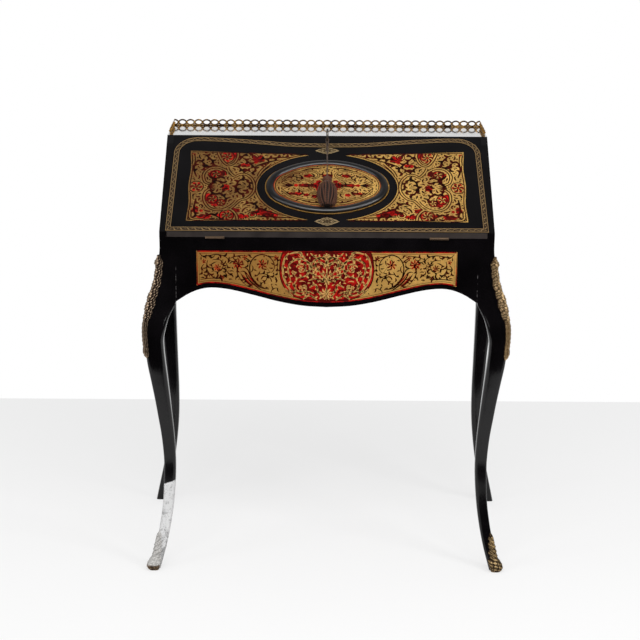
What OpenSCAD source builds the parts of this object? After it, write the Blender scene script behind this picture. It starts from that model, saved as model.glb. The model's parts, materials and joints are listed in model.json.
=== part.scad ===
// Slant-front writing desk: a serpentine frame on four cabriole legs, a slant case with a
// hinged fall, inlaid panels, gilt mounts, a pierced gallery and a fitted interior.
// Millimetres. Inside the modules X runs to the right, Y to the back from the front face
// and Z up from the floor. The finished part stands with its origin under its middle.

/* [Carcass] */
// Width over the side panels
carcass_w = 700; // [620:5:780]
// Depth from the front face to the back
carcass_d = 409; // [390:1:440]
// Height of the joint between the frame and the slant case
joint_h = 728.5; // [700:0.5:760]
// Height of the flat top above the floor
top_h = 904; // [890:1:920]
// Depth of the flat top
top_depth = 152; // [140:1:165]
// Thickness of the side panels
side_t = 15; // [13:0.5:17]
// Thickness of the top board
top_t = 15; // [14:0.5:17]
// Thickness of the back panel
back_t = 10; // [8:0.5:13]

/* [Frame and legs] */
// Width of the square post at the head of a leg
post_w = 34; // [32:1:38]
// Height of a post above the curve of the knee
post_drop = 137.9; // [132:0.1:142]
// How far the back feet kick out beyond the front ones
back_splay = 25; // [15:1:30]
// Thickness of the aprons
apron_t = 20; // [18:1:24]
// Depth of the front apron at its middle
apron_drop = 148.5; // [142:0.5:156]
// Depth of the front apron at its two arches
arch_drop = 107.5; // [102:0.5:112]
// Length of the tenons at the ends of the aprons
tenon_l = 12; // [8:1:16]
// Height of the tenons
tenon_h = 70; // [50:1:80]
// Thickness of the tenons
tenon_t = 8; // [6:1:10]
// Distance of the tenons below the joint
tenon_down = 20; // [12:1:30]

/* [Gilt mounts] */
// How far the knee mounts stand proud of the leg
knee_proud = 5.5; // [4:0.5:7]
// Greatest width of a knee mount on one face of the leg
knee_w = 25; // [20:1:28]
// Thickness of the sole of a sabot
sole_t = 3; // [2:0.5:4]
// How far the toe of a sabot stands proud of the foot
toe_proud = 11; // [8:0.5:13]
// Width of the sabot leaf on one face of the leg
leaf_w = 15; // [12:1:18]
// Height of the gallery
gallery_h = 14.4; // [12:0.2:16]
// Thickness of the gallery strip
gallery_t = 1.6; // [1.2:0.1:2]
// Inset of the gallery from the edges of the top
gallery_in = 5; // [4:0.5:8]
// Length of the clear eye in each gallery link
eye_l = 9.7; // [8.4:0.1:10.5]
// Height of the clear eye in each gallery link
eye_h = 7.9; // [7:0.1:8.2]

/* [Fall] */
// Thickness of the fall
fall_t = 15; // [13:0.5:17]
// Height of the upright lip at the foot of the fall
fall_lip = 11.5; // [9:0.5:14]
// Gap between the fall and the case all round
fall_gap = 0.5; // [0.4:0.1:1]
// Width of the brass border on the fall
border_w = 10.7; // [9:0.1:12]
// Thickness of the brass border
border_t = 1.2; // [0.8:0.1:1.5]
// How far the brass border laps over each side panel
border_lap = 2.6; // [1:0.1:4]
// Half length of the oval on the fall
oval_a = 133; // [128:1:138]
// Half height of the oval as a share of the slope
oval_share = 0.279; // [0.27:0.001:0.288]
// Radius of the ends of the oval
oval_end_r = 62; // [58:1:66]
// Height of the middle of the oval as a share of the slope
oval_place = 0.4557; // [0.44:0.0001:0.47]
// Width of the black oval moulding
moulding_w = 16; // [14:0.5:17]
// Height of the black oval moulding
moulding_h = 8; // [7:0.5:9]
// Diameter of the brass bead around the oval
bead_d = 3; // [2.5:0.1:3.5]
// Thickness of the raised marquetry inside the oval
oval_plate_t = 5; // [3:0.5:5.5]
// Thickness of the marquetry plates
inlay_t = 1; // [0.9:0.1:1.4]
// How deep the marquetry plates are let in
inlay_in = 0.8; // [0.5:0.1:0.8]
// Distance from the middle to the outer side of a marquetry panel
panel_x = 293; // [285:1:300]
// Depth of the ears on the outer side of a marquetry panel
panel_ear = 3; // [1:0.5:5]

/* [Hinges] */
// Distance from the middle to the middle of a hinge
hinge_x = 234; // [200:1:250]
// Width of a hinge
hinge_w = 40; // [34:1:50]
// Radius of the knuckles
knuckle_r = 2.75; // [2.55:0.05:2.75]
// Radius of the hinge pins
pin_r = 1.2; // [1:0.05:1.3]
// Thickness of a hinge leaf
leaf_t = 1.5; // [1.2:0.1:1.5]

/* [Stays] */
// How far the wall pivot stands in front of the pivot on the closed fall
stay_set = 0.7; // [0:0.1:2]
// Radius of the plates that carry the stays on the side panels
stay_plate_r = 8; // [7:0.5:9]
// Distance of the fall pivot up the fall from the hinge axis
stay_reach = 110; // [106:1:113]
// Width of the stay arms
stay_w = 12; // [10:0.5:12]
// Thickness of the stay arms
stay_t = 2.4; // [2:0.1:2.6]
// Radius of the stay pivots
stay_pin_r = 2.5; // [2:0.1:3]

/* [Lock and key] */
// Distance of the keyhole below the top end of the fall
key_down = 49.5; // [46:0.5:52]
// Radius of the key's shank
shank_r = 2.5; // [2:0.1:2.8]
// Height of the key's eye above the fall
bow_up = 46; // [42:1:48]
// Radius of the ring of the bow to the middle of its wire
bow_r = 11.5; // [10:0.5:12.5]
// Radius of the wire of the bow
bow_wire_r = 2.4; // [2:0.1:2.6]
// Width of the lock bolt
bolt_w = 20; // [16:1:24]
// Thickness of the lock bolt
bolt_t = 4.6; // [4:0.1:4.8]

/* [Tassel] */
// Radius of the tassel's head
head_r = 10.5; // [9:0.5:11]
// Length of the tassel's head
head_l = 16; // [14:1:18]
// Greatest radius of the tassel's skirt
skirt_r = 21; // [18:0.5:22]
// Length of the tassel's skirt
skirt_l = 68; // [60:1:72]
// Diameter of the tassel's cord
cord_d = 1.3; // [1:0.1:1.5]

/* [Interior] */
// Height of the small drawers as a share of the height of the case
drawer_share = 0.285; // [0.25:0.005:0.31]
// Thickness of the sides of the small drawers
drawer_t = 6; // [5:0.5:8]
// Distance of the drawer fronts behind the folded stays
drawer_behind = 9.7; // [8:0.1:12]
// Thickness of the boards of the fitting
board_t = 6; // [5:0.5:8]
// Thickness of the upright dividers
divider_t = 8; // [6:0.5:10]
// Thickness of the end uprights beside the drawers
end_t = 13; // [12:0.5:15]
// Half width of the well under the writing surface
well_x = 150; // [120:1:160]
// Distance of the well behind the front face
well_y = 48; // [44:1:55]
// Length of the well from front to back
well_l = 155; // [140:1:158]
// Depth of the well below the joint
well_h = 86; // [60:1:92]
// Thickness of the well's sides
well_t = 6; // [5:0.5:8]
// Running gap beside sliding pieces
slide_gap = 0.3; // [0.2:0.05:0.5]

/* [Hidden] */

$fn = 64;
half_w = carcass_w / 2;
over = 5; // how far a cutting shape runs past what it cuts

// Colours
lacquer = [0.05, 0.05, 0.07];
brass = [0.80, 0.62, 0.30];
bronze = [0.45, 0.36, 0.25];
inlay = [0.72, 0.42, 0.16];
rosewood = [0.42, 0.20, 0.10];
hide = [0.25, 0.08, 0.06];
steel = [0.55, 0.55, 0.56];
silk = [0.42, 0.34, 0.29];

// The slope of the fall
lip_h = joint_h + fall_gap + fall_lip;
slant_run = carcass_d - top_depth;
slant_rise = top_h - lip_h;
slope = atan2(slant_rise, slant_run);
slant_l = sqrt(slant_run * slant_run + slant_rise * slant_rise);
fall_end = slant_l - fall_gap;
oval_b = slant_l * oval_share;
oval_up = slant_l * oval_place;
case_drop = 0.3; // the case's slanted edges lie this much below the fall's face

// The hinge axis, just in front of the face
hinge_y = -(knuckle_r + 0.2);
hinge_z = joint_h + fall_gap / 2;
hinge_to_face = cos(slope) * (lip_h - hinge_z) + sin(slope) * hinge_y;
board_top = hinge_z - hinge_to_face + fall_t;
inner_foot_y = (fall_t - fall_lip * cos(slope)) / sin(slope);

// Where the inner face of the closed fall is, at a height
function inner_face_y(z) = inner_foot_y + (z - joint_h - fall_gap) / tan(slope);

// A smooth curve through knots [place, value], by cubic pieces
function knot_before(knots, place, i = 0) =
  i >= len(knots) - 2 || place <= knots[i + 1][0] ? i : knot_before(knots, place, i + 1);
function tangent(knots, i) =
  let (a = knots[max(i - 1, 0)], b = knots[min(i + 1, len(knots) - 1)])
  (b[1] - a[1]) / (b[0] - a[0]);
function curve(knots, place) =
  let (
    i = knot_before(knots, place),
    a = knots[i],
    b = knots[i + 1],
    span = b[0] - a[0],
    t = max(0, min(1, (place - a[0]) / span))
  )
  (2 * t * t * t - 3 * t * t + 1) * a[1]
  + (t * t * t - 2 * t * t + t) * span * tangent(knots, i)
  + (3 * t * t - 2 * t * t * t) * b[1]
  + (t * t * t - t * t) * span * tangent(knots, i + 1);

// The outline of a front leg: how far its outer and inner sides lie beyond the carcass,
// against height in the tall part below the knee and depth below the joint in the knee
shin_h = 512;
knee_h = 216.5;
shin_out = [[0, 26], [36, 18.5], [62, 13], [98, 6], [150, -0.8], [204, -2.8], [240, -3.3],
  [294, 1], [337, 7], [378, 13], [420, 20], [461, 27], [512, 32.2]];
shin_in = [[0, 6], [54, -8.5], [109, -19], [164, -25.5], [220, -28.5], [280, -27],
  [355, -21], [430, -14], [486, -8.7], [512, -7.6]];
knee_out = [[-216.5, 32.2], [-183, 33.2], [-148, 30], [-124, 24], [-100, 14], [-76, 8],
  [-51, 3], [-28, 0], [0, 0]];
knee_in = [[-216.5, -7.6], [-198, -11], [-170, -19], [-150, -29], [-137.9, -34], [0, -34]];
function in_shin(z) = z < joint_h - knee_h;
function shin_place(z) = z * shin_h / (joint_h - knee_h);
function leg_out(z) =
  in_shin(z) ? curve(shin_out, shin_place(z)) : curve(knee_out, z - joint_h);
function leg_in(z) =
  in_shin(z) ? curve(shin_in, shin_place(z)) * post_w / 34
  : z >= joint_h - post_drop ? -post_w
  : curve(knee_in, (z - joint_h) * 137.9 / post_drop) * post_w / 34;
splay_h = 560;
function splay(z, reach) = z < splay_h ? reach * (1 - (z / splay_h) * (z / splay_h)) : 0;

// Heights at which the legs and their mounts are shaped
shin_steps = 44;
post_steps = 10;
leg_levels = concat(
  [for (i = [0 : shin_steps]) (joint_h - post_drop) * i / shin_steps],
  [for (i = [1 : post_steps]) joint_h - post_drop * (1 - i / post_steps)]
);

// Width of a knee mount as a share of its greatest, against depth below the joint
knee_shape = [[-255, 0.08], [-248, 0.34], [-228, 0.42], [-188, 0.44], [-173, 0.5],
  [-158, 0.8], [-143, 1], [-128, 1], [-108, 0.88], [-78, 0.74], [-53, 0.62], [-38, 0.1]];
knee_top = 38;
knee_foot = 255;
knee_levels = [for (z = leg_levels) if (z >= joint_h - knee_foot && z <= joint_h - knee_top) z];
function knee_share(z) = max(0.08, curve(knee_shape, z - joint_h));
function knee_thick(z) = knee_proud * min(1, 0.35 + 1.1 * knee_share(z));

// The reach of the whole desk to front and back, and the middle between them
front_reach = max([for (z = knee_levels) leg_out(z) + knee_thick(z)]);
back_reach = leg_out(0) + back_splay;
middle_y = (carcass_d + back_reach - front_reach) / 2;

// Depth of an apron's lower edge below the joint, against the share of its half length
apron_knots = [[0, apron_drop], [0.16, apron_drop - 3], [0.32, apron_drop - 12],
  [0.48, arch_drop + 16], [0.64, arch_drop + 4], [0.76, arch_drop], [0.84, arch_drop + 3.5],
  [0.92, arch_drop + 14], [1, post_drop]];
apron_steps = 30;

// Marquetry on the front apron
apron_inlay_x = 272.5;
apron_inlay_top = 28.5;
apron_inlay_edge = 10;

// Outline of the brass border, at an inset from its outer edge
border_x = half_w - side_t + border_lap;
border_foot = 2.3;
corner_r = 51;
corner_x = border_x - corner_r - 5.6;
corner_down = 59.6;
// Distance of the border's top line below the top of the slope, against distance from middle
top_line = [[0, 27.2], [81, 25.2], [128, 20.1], [176, 15.1], [224, 11], [262, 8.6],
  [corner_x, 8.6]];
corner_steps = 14;
top_steps = 16;
function half_border(inset) = concat(
  [[border_x - inset, border_foot + inset]],
  [for (i = [0 : corner_steps]) let (a = -3 + 93 * i / corner_steps)
    [corner_x + (corner_r - inset) * cos(a),
     slant_l - corner_down + (corner_r - inset) * sin(a)]],
  [for (i = [1 : top_steps]) let (x = corner_x * (1 - i / top_steps))
    [x, slant_l - curve(top_line, x) - inset]]
);
function mirrored(half) = concat(half, [for (i = [len(half) - 2 : -1 : 0]) [-half[i][0], half[i][1]]]);

// Outline of one side panel of marquetry, grown by a margin
panel_foot = 32.6;
panel_down = 51.5;
panel_tip_x = 40;
panel_band = 17;
panel_arc_steps = 36;
panel_side_steps = 24;
function panel_arc_x(s, grow) =
  let (b = oval_b + panel_band + 3 - grow, t = (s - oval_up) / b)
  (oval_a + panel_band - grow) * sqrt(max(0, 1 - t * t));
function panel_outline(grow) =
  let (
    top = slant_l - panel_down + grow,
    foot = panel_foot - grow,
    arc_b = oval_b + panel_band + 3 - grow,
    arc_a = oval_a + panel_band - grow,
    tip = acos((panel_tip_x - grow) / arc_a)
  )
  concat(
    [for (i = [0 : panel_side_steps])
      let (t = i / panel_side_steps, ear = cos(360 * t))
      [panel_x + panel_ear * ear * ear + grow, foot + (top - foot) * t]],
    [for (i = [0 : panel_arc_steps]) let (a = tip * (1 - 2 * i / panel_arc_steps))
      [arc_a * cos(a), oval_up + arc_b * sin(a)]]
  );

// Four-centred oval
oval_top_r = (oval_a * oval_a + oval_b * oval_b - 2 * oval_a * oval_end_r)
  / (2 * (oval_b - oval_end_r));
oval_end_x = oval_a - oval_end_r;
oval_top_y = oval_b - oval_top_r;
oval_join = atan2(-oval_top_y, oval_end_x);
moulding_in = bead_d + moulding_w;

inlay_proud = inlay_t - inlay_in;
inlay_gap = 0.1;

// Small diamond ornaments and the lock
diamond_x = 26.5;
diamond_y = 14;
key_diamond_y = 11.8;
lower_up = 32.1;
key_s = fall_end - key_down;
lock_x = 30;
lock_below = 15;
lock_t = 9;
lock_wall = 1.4;
bolt_rest = 0.3;
bolt_travel = 8;
bolt_n = -fall_t + lock_wall + 0.2;
bit_room = 0.6;
turn_gap = 0.05;
bit_r = 8;
bit_t = 2.4;
strike_t = 1.5;
strike_x = 24;
strike_lap = 2;

// Stays: pivots in the plane square to the hinge axis, from the hinge axis
lug_drop = 8;
fall_pivot_n = hinge_to_face - fall_t - lug_drop;
function turned(p, a) = [p[0] * cos(a) - p[1] * sin(a), p[0] * sin(a) + p[1] * cos(a)];
fall_pivot = turned([stay_reach, fall_pivot_n], slope);
plate_gap = 0.33;
wall_pivot = [fall_pivot[0] - stay_set, board_top - hinge_z + stay_plate_r + plate_gap];
open_pivot = [-stay_reach, -fall_pivot_n];
stay_slack = 0.1;
stay_l = norm(open_pivot - wall_pivot) / 2 + stay_slack;
half_gap = (fall_pivot - wall_pivot) / 2;
elbow_out = sqrt(stay_l * stay_l - half_gap * half_gap);
elbow = wall_pivot + half_gap
  + elbow_out * [half_gap[1], -half_gap[0]] / norm(half_gap);
plate_t = 1.2;
rivet_r = 4;
rivet_t = 0.5;
arm_gap = 0.1;
elbow_gap = rivet_t + 4 * arm_gap;
wall_arm_x = half_w - side_t - plate_t - arm_gap - stay_t;
fall_arm_x = wall_arm_x - elbow_gap - stay_t;
ear_t = 2.4;
ear_r = 5.5;
ear_x = fall_arm_x - arm_gap - ear_t;

// Key, cord and tassel, in the frame of the fall's face
cord_hang = 105;
tassel_s = key_s - cord_hang;
tassel_n = 21;
tassel_lift = 8;
eye_side = cord_d / 2 + 0.2;
rim_side = bow_wire_r + cord_d / 2 + turn_gap;
cord_sides = 8;

// Interior
case_h = top_h - joint_h;
drawer_h = case_h * drawer_share;
drawer_y = hinge_y + elbow[0] + stay_w / 2 + drawer_behind;
cover_gap = 0.3;
cover_t = board_top - joint_h - 3 * cover_gap;
fitting_z = board_top;
drawer_z = fitting_z + board_t;
drawer_room = drawer_h + 2 * slide_gap;
shelf_z = drawer_z + drawer_room;
shelf_y = drawer_y + 5;
upright_y = drawer_y + 1;
inner_x = half_w - side_t;
fitting_back = carcass_d - back_t;
drawers_x = inner_x - end_t;
drawer_bay = (2 * drawers_x - 2 * divider_t) / 3;
drawer_pitch = drawer_bay + divider_t;
pigeon_y = inner_face_y(top_h - top_t) + 7;
cover_lap = 3;
pull_r = 11;
pull_t = 3;
cover_front = well_y - cover_lap;
cover_x = well_x + 5;
slot_land = 33;
slot_back = fitting_back - slot_land;
knob_r = 6;

// Places the desk with its origin under its middle
module desk() {
  translate([0, -middle_y, 0]) children();
}

// The frame of the fall's face: X right, Y up the slope from its foot, Z outwards
module on_fall() {
  translate([0, 0, lip_h]) rotate([slope, 0, 0]) children();
}

// A flat plate on the fall's face, from one depth to another
module fall_plate(low, high) {
  on_fall() translate([0, 0, low]) linear_extrude(high - low) children();
}

// A solid of constant section along X, drawn in the plane of depth and height
module along_x(from, to) {
  translate([from, 0, 0]) rotate([90, 0, 90]) linear_extrude(to - from) children();
}

// A closed solid through rings of points, each ring counter-clockwise from above
module loft(rings) {
  n = len(rings[0]);
  m = len(rings);
  sides = [for (i = [0 : m - 2], j = [0 : n - 1], half = [0, 1])
    let (k = (j + 1) % n)
    half == 0 ? [i * n + j, (i + 1) * n + j, (i + 1) * n + k]
    : [i * n + j, (i + 1) * n + k, i * n + k]];
  polyhedron(
    points = [for (ring = rings, p = ring) p],
    faces = concat([[for (j = [0 : n - 1]) j]], sides,
      [[for (j = [n - 1 : -1 : 0]) (m - 1) * n + j]]),
    convexity = 6
  );
}

// Legs

// A leg outlined twice, as on a band saw, with X and Y outwards from the carcass corner
module leg_blank(foot_h, reach) {
  levels = concat([foot_h], [for (z = leg_levels) if (z > foot_h + 1) z]);
  outline = concat(
    [for (z = levels) [leg_out(z) + splay(z, reach), z]],
    [for (i = [len(levels) - 1 : -1 : 0]) let (z = levels[i])
      [leg_in(z) + splay(z, reach), z]]
  );
  size = 160;
  intersection() {
    translate([0, size / 2, 0]) rotate([90, 0, 0]) linear_extrude(size) polygon(outline);
    translate([-size / 2, 0, 0]) rotate([90, 0, 90]) linear_extrude(size) polygon(outline);
  }
}

// Puts what is drawn outwards from a corner at one corner of the carcass
module at_corner(side, front) {
  translate([side * half_w, front ? 0 : carcass_d, 0])
    mirror([side < 0 ? 1 : 0, 0, 0]) mirror([0, front ? 1 : 0, 0]) children();
}

// The two tenons that enter a leg's post, one along each apron
module post_tenons(room) {
  for (turn = [0, 1])
    mirror([turn, -turn, 0])
      translate([-post_w - over, -(apron_t + tenon_t) / 2 - room, joint_h - tenon_h - tenon_down - room])
        cube([tenon_l + over + room, tenon_t + 2 * room, tenon_h + 2 * room]);
}

module leg(side, front) {
  color(lacquer) desk() at_corner(side, front) difference() {
    leg_blank(front ? sole_t : 0, front ? 0 : back_splay);
    post_tenons(0);
  }
}

module left_front_leg() { leg(-1, true); }
module right_front_leg() { leg(1, true); }
module left_back_leg() { leg(-1, false); }
module right_back_leg() { leg(1, false); }

// Aprons

// An apron standing along X, with its outer face at Y = 0 and its tenons
module apron(half_l) {
  edge = [for (i = [0 : apron_steps]) let (t = 1 - i / apron_steps)
    [half_l * t, joint_h - curve(apron_knots, t)]];
  outline = concat([[half_l, joint_h]], mirrored(edge), [[-half_l, joint_h]]);
  translate([0, apron_t, 0]) rotate([90, 0, 0]) linear_extrude(apron_t) polygon(outline);
  translate([-half_l - tenon_l, (apron_t - tenon_t) / 2, joint_h - tenon_h - tenon_down])
    cube([2 * (half_l + tenon_l), tenon_t, tenon_h]);
}

// Shape of the marquetry on the front apron, shrunk by a margin
module apron_inlay_shape(margin) {
  half_l = half_w - post_w;
  x_end = apron_inlay_x - margin;
  edge = [for (i = [0 : apron_steps]) let (x = x_end * (1 - i / apron_steps))
    [x, joint_h - curve(apron_knots, x / half_l) + apron_inlay_edge + margin]];
  top = joint_h - apron_inlay_top - margin;
  polygon(concat([[x_end, top]], mirrored(edge), [[-x_end, top]]));
}

module front_apron() {
  color(lacquer) desk() difference() {
    apron(half_w - post_w);
    translate([0, inlay_in, 0]) rotate([90, 0, 0]) linear_extrude(inlay_in + over)
      apron_inlay_shape(0);
    for (side = [-1, 1])
      translate([side * hinge_x - hinge_w / 2, -over, joint_h - leaf_t])
        cube([hinge_w, leaf_depth_case + over, leaf_t + over]);
  }
}

module back_apron() {
  color(lacquer) desk() translate([0, carcass_d, 0]) mirror([0, 1, 0])
    apron(half_w - post_w);
}

module side_apron(side) {
  color(lacquer) desk() translate([side * half_w, carcass_d / 2, 0])
    rotate([0, 0, side * 90]) apron(carcass_d / 2 - post_w);
}

module left_apron() { side_apron(-1); }
module right_apron() { side_apron(1); }

module apron_marquetry() {
  color(inlay) desk() translate([0, inlay_in, 0]) rotate([90, 0, 0])
    linear_extrude(inlay_t) apron_inlay_shape(inlay_gap);
}

// Gilt mounts on the front legs

// One ring of a mount that wraps the outer arris of a leg
function wrap_ring(z, w, t) =
  let (o = leg_out(z))
  [[o - w, o, z], [o, o, z], [o, o - w, z], [o + 0.4 * t, o - 0.94 * w, z],
   [o + t, o - 0.6 * w, z], [o + 0.8 * t, o - 0.25 * w, z], [o + t, o + 0.5 * t, z],
   [o + 0.85 * t, o + 0.85 * t, z], [o + 0.5 * t, o + t, z], [o - 0.25 * w, o + 0.8 * t, z],
   [o - 0.6 * w, o + t, z], [o - 0.94 * w, o + 0.4 * t, z]];

module knee_mount(side) {
  color(bronze) desk() at_corner(side, true)
    loft([for (z = knee_levels) wrap_ring(z, knee_w * knee_share(z), knee_thick(z))]);
}

module left_knee_mount() { knee_mount(-1); }
module right_knee_mount() { knee_mount(1); }

// A ring of eight points around a foot, from its inner to its outer side
function foot_ring(low, high, swell, z) =
  let (mid = (low + high) / 2)
  [[low, low, z], [mid, low - swell, z], [high, low, z], [high + swell, mid, z],
   [high, high, z], [mid, high + swell, z], [low, high, z], [low - swell, mid, z]];

shoe_top = leg_levels[2];
leaf_top = leg_levels[6];
// How far the shoe stands proud of the foot, as a share of the toe, against height
shoe_shape = [[0, 0.25], [5, 0.7], [11, 1], [18, 0.85], [27, 0.4]];

module sabot(side) {
  levels = [0, 3, 6, 9, 12, 16, 20, shoe_top];
  rim = 2.2;
  outside = [for (z = levels)
    let (proud = toe_proud * curve(shoe_shape, z * 27 / shoe_top))
    foot_ring(leg_in(z) - rim, leg_out(z) + proud, -0.18 * proud, z)];
  inside = [for (z = [shoe_top, leg_levels[1], sole_t])
    foot_ring(leg_in(z), leg_out(z), 0, z)];
  leaf_levels = [for (z = leg_levels) if (z >= shoe_top && z <= leaf_top) z];
  color(bronze) desk() at_corner(side, true) {
    loft(concat(outside, inside));
    loft([for (z = leaf_levels)
      let (t = 1 - (z - shoe_top) / (leaf_top - shoe_top))
      wrap_ring(z, 1.5 + (leaf_w - 1.5) * sqrt(t), 1 + 2.4 * t)]);
  }
}

module left_sabot() { sabot(-1); }
module right_sabot() { sabot(1); }

// Case

// Profile of a side panel in depth and height, below the top board
module side_profile() {
  edge_h = lip_h - case_drop / cos(slope);
  under_top = top_h - top_t;
  polygon([[0, joint_h], [0, edge_h], [(under_top - edge_h) / tan(slope), under_top],
    [carcass_d, under_top], [carcass_d, joint_h]]);
}

module side_panel(side) {
  color(lacquer) desk() mirror([side < 0 ? 1 : 0, 0, 0])
    along_x(half_w - side_t, half_w) side_profile();
}

module left_side_panel() { side_panel(-1); }
module right_side_panel() { side_panel(1); }

module back_panel() {
  color(lacquer) desk() translate([-inner_x, fitting_back, joint_h])
    cube([2 * inner_x, back_t, top_h - top_t - joint_h]);
}

module top_board() {
  edge_h = lip_h - case_drop / cos(slope);
  color(lacquer) desk() difference() {
    along_x(-half_w, half_w)
      polygon([[(top_h - top_t - edge_h) / tan(slope), top_h - top_t],
        [(top_h - edge_h) / tan(slope), top_h], [carcass_d, top_h],
        [carcass_d, top_h - top_t]]);
    on_fall() translate([-inner_x, slant_l - 100, -3 * top_t])
      cube([2 * inner_x, 100, 3 * top_t + over]);
    on_fall() translate([-strike_x, slant_l - over, bolt_n - strike_lap])
      cube([2 * strike_x, strike_t + over, bolt_t + 2 * strike_lap]);
    bolt_mortise(slant_l, slant_l + bolt_travel + slide_gap);
  }
}

// Room for the bolt beyond the end of the fall
module bolt_mortise(from, to) {
  on_fall() translate([-bolt_w / 2 - slide_gap, from - over, bolt_n - slide_gap])
    cube([bolt_w + 2 * slide_gap, to - from + over, bolt_t + 2 * slide_gap]);
}

module strike_plate() {
  color(brass) desk() difference() {
    on_fall() translate([-strike_x, slant_l, bolt_n - strike_lap])
      cube([2 * strike_x, strike_t, bolt_t + 2 * strike_lap]);
    bolt_mortise(slant_l, slant_l + strike_t + over);
  }
}

// Writing surface, flush with the inside of the open fall, with the slot for the well cover
module writing_board() {
  front_gap = 0.6 / sin(slope);
  color(rosewood) desk() difference() {
    along_x(-inner_x, inner_x)
      polygon([[inner_face_y(joint_h) + front_gap, joint_h],
        [inner_face_y(board_top) + front_gap, board_top],
        [fitting_back, board_top], [fitting_back, joint_h]]);
    translate([-cover_x - slide_gap, cover_front - slide_gap, joint_h - over])
      cube([2 * (cover_x + slide_gap), slot_back - cover_front + slide_gap,
        board_top - joint_h + 2 * over]);
  }
}

// Gallery

link_pitch = 18.1;
link_band = 2.2;
link_sink = 0.8; // how far the eyes sink into the rail
// A run of linked eyes standing on a thin rail, centred on X and standing on Z = 0
module gallery_strip(length) {
  count = floor(length / link_pitch);
  pitch = length / count;
  rail_h = gallery_h - eye_h - 2 * link_band;
  eye_y = gallery_h - link_band - eye_h / 2;
  flat = (eye_l - eye_h) / 2;
  translate([0, gallery_t / 2, 0]) rotate([90, 0, 0]) linear_extrude(gallery_t)
    difference() {
      union() {
        translate([-length / 2, 0]) square([length, rail_h + link_sink]);
        for (i = [0 : count - 1]) translate([(i + 0.5 - count / 2) * pitch, eye_y]) {
          for (end = [-1, 1]) translate([end * flat, 0]) circle(r = eye_h / 2 + link_band);
          translate([-flat, -eye_h / 2 - link_band]) square([2 * flat, eye_h + 2 * link_band]);
        }
        for (i = [0 : count - 2]) translate([(i + 1 - count / 2) * pitch, eye_y])
          circle(r = link_pitch / 2 - flat - eye_h / 2 - link_sink / 2);
      }
      for (i = [0 : count - 1]) translate([(i + 0.5 - count / 2) * pitch, eye_y]) {
        for (end = [-1, 1]) translate([end * flat, 0]) circle(r = eye_h / 2);
        translate([-flat, -eye_h / 2]) square([2 * flat, eye_h]);
      }
    }
}

gallery_y = carcass_d - gallery_in;
gallery_side_l = top_depth - 2 * gallery_in;
module back_gallery() {
  color(brass) desk() translate([0, gallery_y, top_h])
    gallery_strip(carcass_w - 2 * gallery_in);
}

module side_gallery(side) {
  color(brass) desk()
    translate([side * (half_w - gallery_in), gallery_y - gallery_t / 2 - gallery_side_l / 2, top_h])
      rotate([0, 0, 90]) gallery_strip(gallery_side_l);
}

module left_gallery() { side_gallery(-1); }
module right_gallery() { side_gallery(1); }

// Fitting inside the case

module fitting_bottom() {
  color(rosewood) desk() translate([-inner_x, upright_y, fitting_z])
    cube([2 * inner_x, fitting_back - upright_y, board_t]);
}

module fitting_shelf() {
  color(rosewood) desk() translate([-inner_x, shelf_y, shelf_z])
    cube([2 * inner_x, fitting_back - shelf_y, board_t]);
}

module drawer_dividers() {
  color(rosewood) desk() {
    for (side = [-1, 1]) {
      translate([side * (inner_x - end_t / 2) - end_t / 2, upright_y, drawer_z])
        cube([end_t, fitting_back - upright_y, drawer_room]);
      translate([side * drawer_pitch / 2 - divider_t / 2, upright_y, drawer_z])
        cube([divider_t, fitting_back - upright_y, drawer_room]);
    }
  }
}

module pigeonhole_dividers() {
  base = shelf_z + board_t;
  color(rosewood) desk() for (side = [-1, 1])
    translate([side * drawer_pitch / 2 - divider_t / 2, pigeon_y, base])
      cube([divider_t, fitting_back - pigeon_y, top_h - top_t - base]);
}

drawer_depth = fitting_back - drawer_y - 4;
drawer_front_t = drawer_t + 2;
drawer_floor_t = 4;
// A small open drawer, by its place in the row
module drawer(place) {
  width = drawer_bay - 2 * slide_gap;
  color(rosewood) desk()
    translate([place * drawer_pitch - width / 2, drawer_y, drawer_z + slide_gap / 2])
      difference() {
        cube([width, drawer_depth, drawer_h]);
        translate([drawer_t, drawer_front_t, drawer_floor_t])
          cube([width - 2 * drawer_t, drawer_depth - drawer_t - drawer_front_t, drawer_h]);
      }
}

module left_drawer() { drawer(-1); }
module middle_drawer() { drawer(0); }
module right_drawer() { drawer(1); }

// A turned knob standing out along Z
module turned_knob(r) {
  rotate_extrude()
    polygon([[0, 0], [0.85 * r, 0], [0.85 * r, 0.25 * r], [0.4 * r, 0.5 * r], [0.4 * r, 0.9 * r],
      [0.75 * r, 1.1 * r], [r, 1.5 * r], [0.95 * r, 1.9 * r], [0.55 * r, 2.25 * r],
      [0, 2.35 * r]]);
}

module drawer_knob(place) {
  color(brass) desk() translate([place * drawer_pitch, drawer_y, drawer_z + drawer_h / 2])
    rotate([90, 0, 0]) turned_knob(knob_r);
}

module left_drawer_knob() { drawer_knob(-1); }
module middle_drawer_knob() { drawer_knob(0); }
module right_drawer_knob() { drawer_knob(1); }

// Well under the writing surface, with the runners for its cover
module well_box() {
  rail_w = cover_x - well_x + 10;
  rail_h = 16;
  color(rosewood) desk() {
    translate([-well_x - well_t, well_y, joint_h - well_h]) difference() {
      cube([2 * (well_x + well_t), well_l + 2 * well_t, well_h]);
      translate([well_t, well_t, well_t])
        cube([2 * well_x, well_l, well_h]);
    }
    for (side = [-1, 1])
      translate([side * (well_x + rail_w / 2 + well_t) - rail_w / 2, well_y, joint_h - rail_h])
        cube([rail_w, slot_back - well_y, rail_h]);
    for (side = [-1, 1])
      translate([side * (well_x + well_t / 2) - well_t / 2, well_y + well_l, joint_h - rail_h])
        cube([well_t, slot_back - well_y - well_l, rail_h]);
  }
}

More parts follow.
